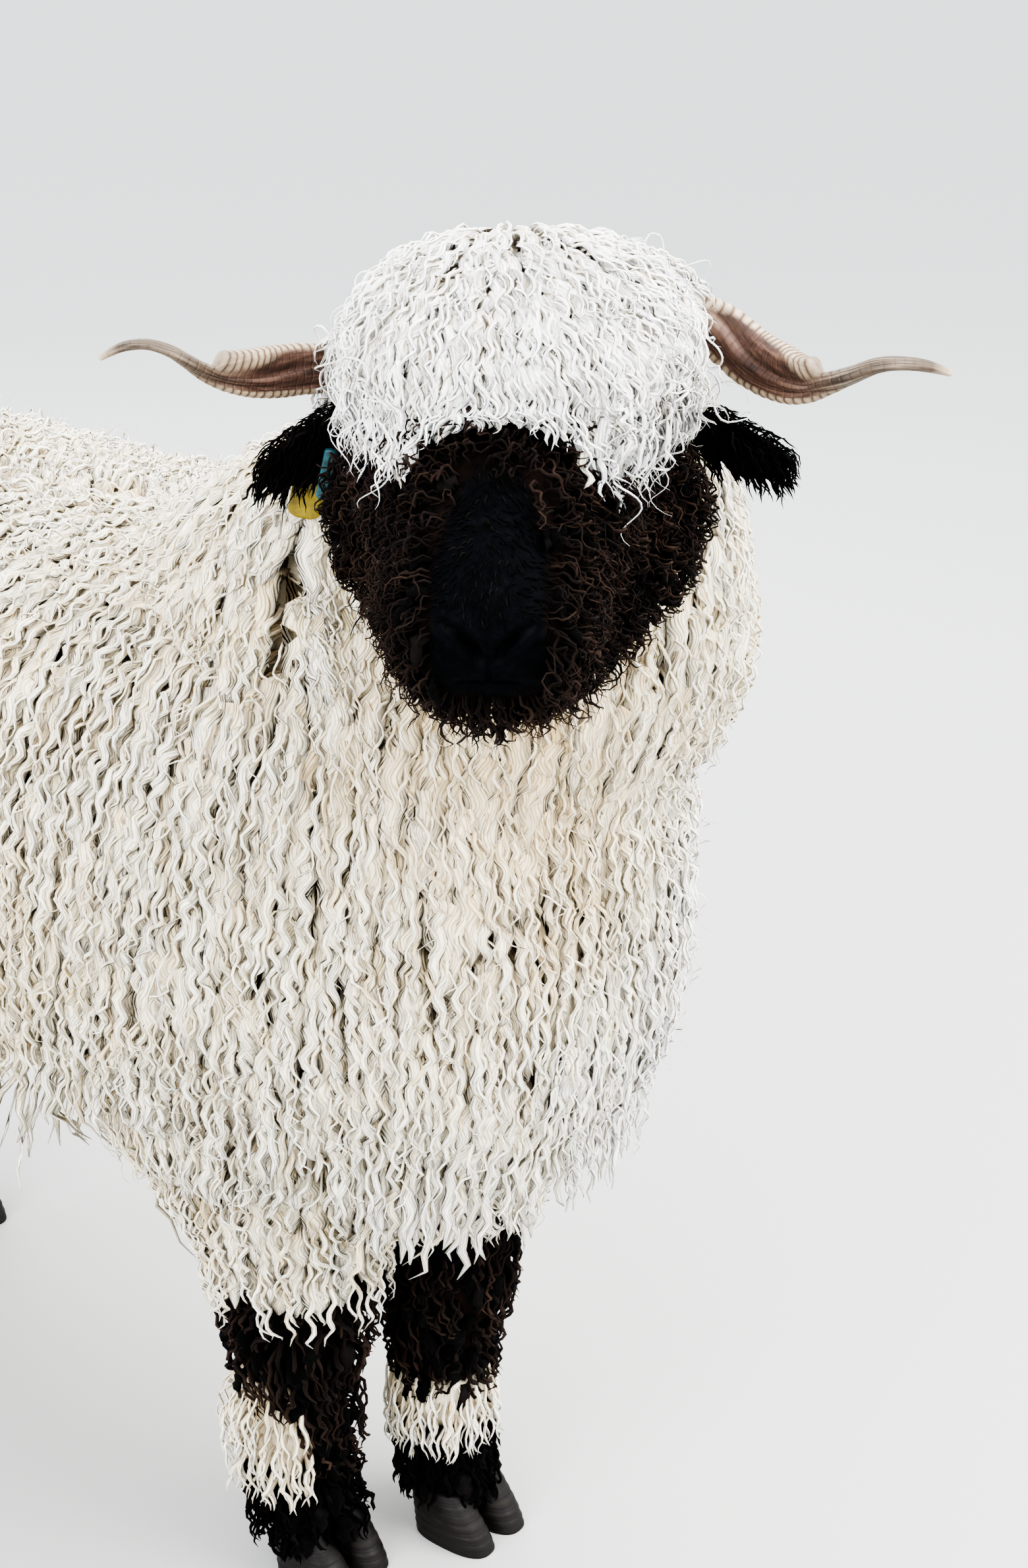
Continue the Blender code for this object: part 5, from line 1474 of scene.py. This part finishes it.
def grow_coats(ground):
    white, wool, hair = white_wool(), dark_wool(), black_hair()

    def clear_of_head(places):
        """The body's wool lies low where the head rises from it."""
        away = np.array([ground.trees["head"].find_nearest(Vector(place))[3] for place in places])
        return NEAR_HEAD + (1 - NEAR_HEAD) * smoothstep(0.0, HEAD_CLEAR, away)

    def coat(name, spacing, seed, keep, lie, style, material=white, hem=None, raised=None):
        spot = ground.scatter(spacing, seed, keep)
        places = spot[0]
        full = raised(places) if raised else np.ones(len(places))
        if style["group"] != "head":
            full = full * clear_of_head(places)
        height = hem(places) if callable(hem) else hem
        locks = grow(ground, spot, lie(places), style, seed + 1, height, full)
        coat_pieces(name, locks, material, "white_wool" if material is white else "black_hair")

    coat("fleece", 0.0102, 1, on_body, body_lie, FLEECE, hem=body_hem, raised=fuller)
    coat("fleece_strands", 0.0125, 41, on_body, body_lie, STRANDS, hem=body_hem, raised=fuller)
    coat("fleece_wisps", 0.0230, 43, on_body, body_lie, WISPS, hem=body_hem, raised=fuller)
    coat("fleece_under", 0.0153, 31, on_body, body_lie, UNDER, hem=body_hem, raised=fuller)
    coat("fleece_belly", 0.0200, 3, on_belly, body_lie, BELLY)
    coat("neck_under", 0.0118, 55, on_neck, neck_lie, UNDER, raised=fuller)
    coat("neck_wool", 0.0105, 5, on_neck, neck_lie, NECK_WOOL, raised=fuller)
    coat("neck_strands", 0.0095, 45, on_neck, neck_lie, NECK_STRANDS, raised=fuller)
    coat("forelock_under", 0.0110, 51, on_crown, crown_lie, CROWN_UNDER,
         hem=lambda places: crown_hem(places) + 0.010)
    coat("forelock_locks", 0.0060, 7, on_crown, crown_lie, FORELOCK, hem=crown_hem)
    coat("forelock_fringe", 0.0051, 47, on_crown, crown_lie, FRINGE, hem=crown_hem)
    coat("forelock_curls", 0.0135, 57, on_temples, crown_lie, CURLS,
         hem=lambda places: crown_hem(places) - 0.022)
    coat("tail_wool", 0.0094, 9, lambda f: f["tail"], hanging, TAIL_WOOL, hem=0.372)
    coat("sleeve_under", 0.0125, 53, on_sleeve, hanging, SLEEVE_UNDER,
         hem=lambda places: sleeve_hem(places) + 0.020)
    coat("leg_sleeves", 0.0086, 11, on_sleeve, hanging, SLEEVE, hem=sleeve_hem)
    coat("leg_puffs", 0.0056, 13, on_shank, hanging, SHANK, hem=0.070, raised=leg_fullness)
    coat("leg_under", 0.0135, 61, black_leg, hanging, LEG_UNDER, hair, raised=leg_fullness)
    coat("leg_curls", 0.0084, 15, on_knee, hanging, KNEE, wool, raised=leg_fullness)
    coat("foot_hair", 0.0061, 17, on_foot, hanging, FOOT, hair, hem=0.022, raised=leg_fullness)
    coat("face_under", 0.0088, 59, on_cheeks, cheek_lie, FACE_UNDER, hair, raised=clumps)
    coat("face_curls", 0.0043, 19, on_face, cheek_lie, FACE, wool, raised=clumps)
    coat("face_wisps", 0.0072, 49, under_brow, cheek_lie, FACE_WISPS, wool, raised=clumps)
    coat("ear_hair", 0.0027, 21, lambda f: f["ear"], ear_lie, EAR_HAIR, hair)
    coat("muzzle_hair", 0.0026, 23, on_muzzle, cheek_lie, MUZZLE_HAIR, hair)


# ---------------------------------------------------------------- horns, eyes, hooves and tags
def shell(name, grid, numbers):
    """A closed mesh over rings of points, with numbers stored on them."""
    shape = bmesh.new()
    rows = add_rings(shape, grid)
    for row in (rows[0], rows[-1]):
        shape.faces.new(row)
    bmesh.ops.recalc_face_normals(shape, faces=shape.faces)
    made = linked(name, shape)
    store(made.data, numbers)
    return made


def around(way, along):
    """The part of a direction that stands square to the way along."""
    return (way - along * along.dot(way)).normalized()


def horn(name, sign, material):
    rows = curve_through(HORN[sign], HORN_STEPS)
    centres = [mirrored(row, sign) for row in rows]
    grid, numbers = [], dict(along=[], reach=[], face=[], turn=[])
    reach = 0.0
    for index, row in enumerate(rows):
        along = heading(centres, index)
        reach += (centres[index] - centres[max(index - 1, 0)]).length
        s = index / (len(rows) - 1)
        station = index / HORN_STEPS
        upright = around(UP, along)
        level = along.cross(upright) * sign
        twist = HORN_TWIST[0] * (1 - s) + HORN_TWIST[1] * s
        broad = upright * math.cos(twist) + level * math.sin(twist)
        narrow = along.cross(broad)
        ledge, hollow = around(LEDGE_WAY, along), around(HOLLOW_WAY, along)
        height, depth = (np.interp(station, *np.array(rise).T) for rise in (LEDGE, HOLLOW))
        fade = 1 - smoothstep(6.5, 9.0, station)
        rib = abs(math.sin(math.pi * reach / HORN_RIB)) ** 0.6 * RIB_HEIGHT * fade
        ring = []
        for k in range(HORN_SIDES):
            angle = 2 * math.pi * k / HORN_SIDES
            ridge = 0.016 * math.sin(7 * angle + 3 * s) + 0.012 * math.sin(13 * angle - 2 * s)
            grain = 0.03 * noise.noise(Vector((s * 30, math.cos(angle) * 1.5, math.sin(angle) * 1.5)))
            radial = broad * bulge(math.cos(angle), 1.9) * row[3]
            radial = radial + narrow * bulge(math.sin(angle), 1.9) * row[4]
            way = radial.normalized()
            face = float(smoothstep(0.35, 0.92, way.dot(hollow)))
            move = height * float(smoothstep(0.74, 0.98, way.dot(ledge))) - depth * face + rib * (1 - face)
            ring.append(in_head(centres[index] + radial * (1 + ridge + grain) + way * move))
            shown = face * float(smoothstep(2.5, 4.5, station))
            for values, value in zip(numbers.values(), (s, reach, shown, math.cos(angle))):
                values.append(value)
        grid.append(ring)
    dress(shell(name, grid, numbers), material, "horn", name.replace("_horn", ""))


def eyeball(name, sign, material, node):
    sight, across, up = sight_axes(sign)
    grid, numbers = [], dict(slot=[], iris=[])
    for k in range(40):
        angle = math.pi * (1 - (0.01 + 0.98 * k / 39))
        bulged = EYE_R - EYE_GAP - CORNEA + CORNEA * math.exp(-((math.pi - angle) / 0.5) ** 2)
        ring = []
        for j in range(48):
            turn = 2 * math.pi * j / 48
            way = across * math.cos(turn) + up * math.sin(turn)
            direction = -sight * math.cos(angle) + way * math.sin(angle)
            ring.append(in_head(mirrored(EYE_AT, sign) + direction * bulged))
            x, y = direction.dot(across) / PUPIL[0], direction.dot(up) / PUPIL[1]
            front = direction.dot(sight) > 0
            numbers["slot"].append(abs(x) ** 3 + abs(y) ** 3 if front else 9.0)
            off_axis = math.sqrt(max(0.0, 1 - direction.dot(sight) ** 2))
            numbers["iris"].append(off_axis / IRIS if front else 9.0)
        grid.append(ring)
    dress(shell(name, grid, numbers), material, "eye", node)


DEWCLAW = ((0.028, 0.073), (0.042, 0.067), (0.049, 0.060))
# Stations of a claw: height, half width, half length, offset back
CLAW = ((0.0, 0.0146, 0.0308, -0.014), (0.003, 0.0149, 0.0312, -0.0138), (0.014, 0.0146, 0.029, -0.010),
        (0.026, 0.0138, 0.0255, -0.0045), (HOOF_TOP + 0.003, 0.0122, 0.0215, 0.001))
CLAW_OFF = 0.0165


def hooves(leg, foot, material):
    """Two claws with growth rings, and the dewclaws behind."""
    shape = bmesh.new()
    for side in (-1, 1):
        made = []
        for z, half, length, y in curve_through(CLAW, 7):
            z = max(z, 0.0)
            swell = 1 + 0.012 * math.sin(z * 1100) * (0.004 < z < 0.034)
            turn = (z / HOOF_TOP) * 0.10 * side
            across = Vector((math.cos(turn), math.sin(turn), 0)) * half * swell
            ahead = Vector((-math.sin(turn), math.cos(turn), 0)) * length * swell
            made.append(section((foot.x + side * CLAW_OFF, foot.y + y, z), across, ahead, 2.6))
        pour(loft(made, 36), shape)
        x = foot.x * (1 + LEG_LEAN * 0.07 / LEG_ROOT) + side * 0.013
        pour(tube([(x, foot.y + back, z) for back, z in DEWCLAW], (0.008, 0.0065, 0.004), 16), shape)
    dress(linked(f"{leg}_claws", shape), material, "hoof", f"{leg}_hoof")


def tag(name, top, end, width, material):
    """A blank strip with rounded corners, a raised stud and a slight bend."""
    top, end = Vector(top), Vector(end)
    along = (end - top).normalized()
    across = along.cross(Vector((0, 1, 0))).normalized()
    thin = across.cross(along)
    length = (end - top).length
    rings, sides = 28, 20
    grid = []
    for k in range(rings):
        s = k / (rings - 1)
        corner = min(s, 1 - s) * length
        reach = width * 0.22
        inset = reach - math.sqrt(max(0.0, reach**2 - (reach - min(corner, reach)) ** 2))
        half = width / 2 - inset
        bend = thin * 0.0022 * math.sin(math.pi * s)
        ring = []
        for j in range(sides):
            angle = 2 * math.pi * j / sides
            x, y = bulge(math.cos(angle), 6.0), bulge(math.sin(angle), 3.0)
            stud = 0.0012 * math.exp(-(((s - 0.16) * length / 0.0035) ** 4 + (x * half / 0.0035) ** 4))
            place = top.lerp(end, s) + bend + across * x * half
            ring.append(in_head(place + thin * y * (TAG_THICK * 0.9 + stud)))
        grid.append(ring)
    dress(shell(f"tag_{name}", grid, {}), material, f"tag_{name}", f"ear_tag_{name}")


# ---------------------------------------------------------------- the stage
def build_stage():
    shape = bmesh.new()
    bmesh.ops.create_grid(shape, x_segments=1, y_segments=1, size=40)
    floor = linked("floor", shape, False)
    floor.data.materials.append(Shading("floor").finish(Base_Color=(0.44, 0.44, 0.43), Roughness=0.9))


CAMERA_AT = Vector((-1.0995, -1.2589, 1.10))
CAMERA_TURN = math.radians(52)       # to the sheep's left of straight ahead at its face
CAMERA_DROP = math.radians(20.5)
FOCAL_PIXELS = 3800.0
IMAGE_HEIGHT = 2380.0
SENSOR = 36.0


def build_camera():
    data = bpy.data.cameras.new("camera")
    data.sensor_width = SENSOR
    data.sensor_fit = "AUTO"
    data.lens = FOCAL_PIXELS / IMAGE_HEIGHT * SENSOR
    data.clip_start, data.clip_end = 0.05, 200
    camera = bpy.data.objects.new("camera", data)
    bpy.context.scene.collection.objects.link(camera)
    level = math.cos(CAMERA_DROP)
    look = Vector((math.sin(CAMERA_TURN) * level, math.cos(CAMERA_TURN) * level, -math.sin(CAMERA_DROP)))
    camera.location = CAMERA_AT + SHIFT
    camera.rotation_euler = look.to_track_quat("-Z", "Y").to_euler()
    bpy.context.scene.camera = camera


def area_light(name, place, target, size, power, colour):
    data = bpy.data.lights.new(name, "AREA")
    data.shape = "DISK"
    data.size = size
    data.energy = power
    data.color = colour
    light = bpy.data.objects.new(name, data)
    bpy.context.scene.collection.objects.link(light)
    light.location = place
    light.rotation_euler = (Vector(target) - Vector(place)).to_track_quat("-Z", "Y").to_euler()


def build_lights():
    world = bpy.data.worlds.new("studio")
    world.use_nodes = True
    world.node_tree.nodes["Background"].inputs["Color"].default_value = (0.80, 0.83, 0.86, 1)
    world.node_tree.nodes["Background"].inputs["Strength"].default_value = 1.7
    bpy.context.scene.world = world
    middle = (0.0, -0.1, 0.5)
    area_light("key", (0.7, -2.5, 2.9), middle, 3.2, 125, (1.0, 0.98, 0.95))
    area_light("fill", (-3.2, -0.4, 1.8), middle, 2.8, 70, (0.97, 0.98, 1.0))
    area_light("rim", (1.6, 2.4, 2.6), middle, 2.0, 45, (1.0, 0.99, 0.96))
    bpy.context.scene.view_settings.view_transform = "AgX"
    bpy.context.scene.view_settings.look = "AgX - High Contrast"
    bpy.context.scene.view_settings.exposure = 0.72


# ---------------------------------------------------------------- the sheep
SKIN_NODES = ["torso", "neck", "tail", "forelock", "head", "ear_left", "ear_right"]
for leg_name in LEGS:
    joint = "hock" if leg_name.startswith("hind") else "knee"
    SKIN_NODES += [f"{leg_name}_{part}" for part in ("upper", joint, "shank", "foot")]


def unwrap(thing):
    """The skin's own unwrap, which the coats' patches lie on too."""
    thing.data.uv_layers.new(name="OFBake")
    for other in bpy.context.view_layer.objects:
        other.select_set(other == thing)
    bpy.context.view_layer.objects.active = thing
    bpy.ops.object.mode_set(mode="EDIT")
    bpy.ops.mesh.select_all(action="SELECT")
    bpy.ops.uv.smart_project(angle_limit=math.radians(66), island_margin=0.002)
    bpy.ops.object.mode_set(mode="OBJECT")


def main():
    skin, trees = build_skin()
    unwrap(skin)
    ground = Ground(skin, trees)
    paint_skin(skin, ground)
    dress(skin, skin_material(), "black_hair", *SKIN_NODES)
    grow_coats(ground)
    horn_look, eye_look, hoof_look = horn_material(), eye_material(), hoof_material()
    for side, sign in SIDES.items():
        horn(f"horn_{side}_horn", sign, horn_look)
        eyeball(f"eyeball_{side}", sign, eye_look, f"eye_{side}")
    for leg, (foot, _, _) in LEGS.items():
        hooves(leg, foot, hoof_look)
    looks = {
        "yellow": tag_material("tag_yellow", (0.17, 0.12, 0.003), (0.30, 0.22, 0.006)),
        "teal": tag_material("tag_teal", (0.003, 0.035, 0.045), (0.008, 0.080, 0.095)),
    }
    for name, (top, end, width) in TAGS.items():
        tag(name, top, end, width, looks[name])
    build_stage()
    build_camera()
    build_lights()


main()
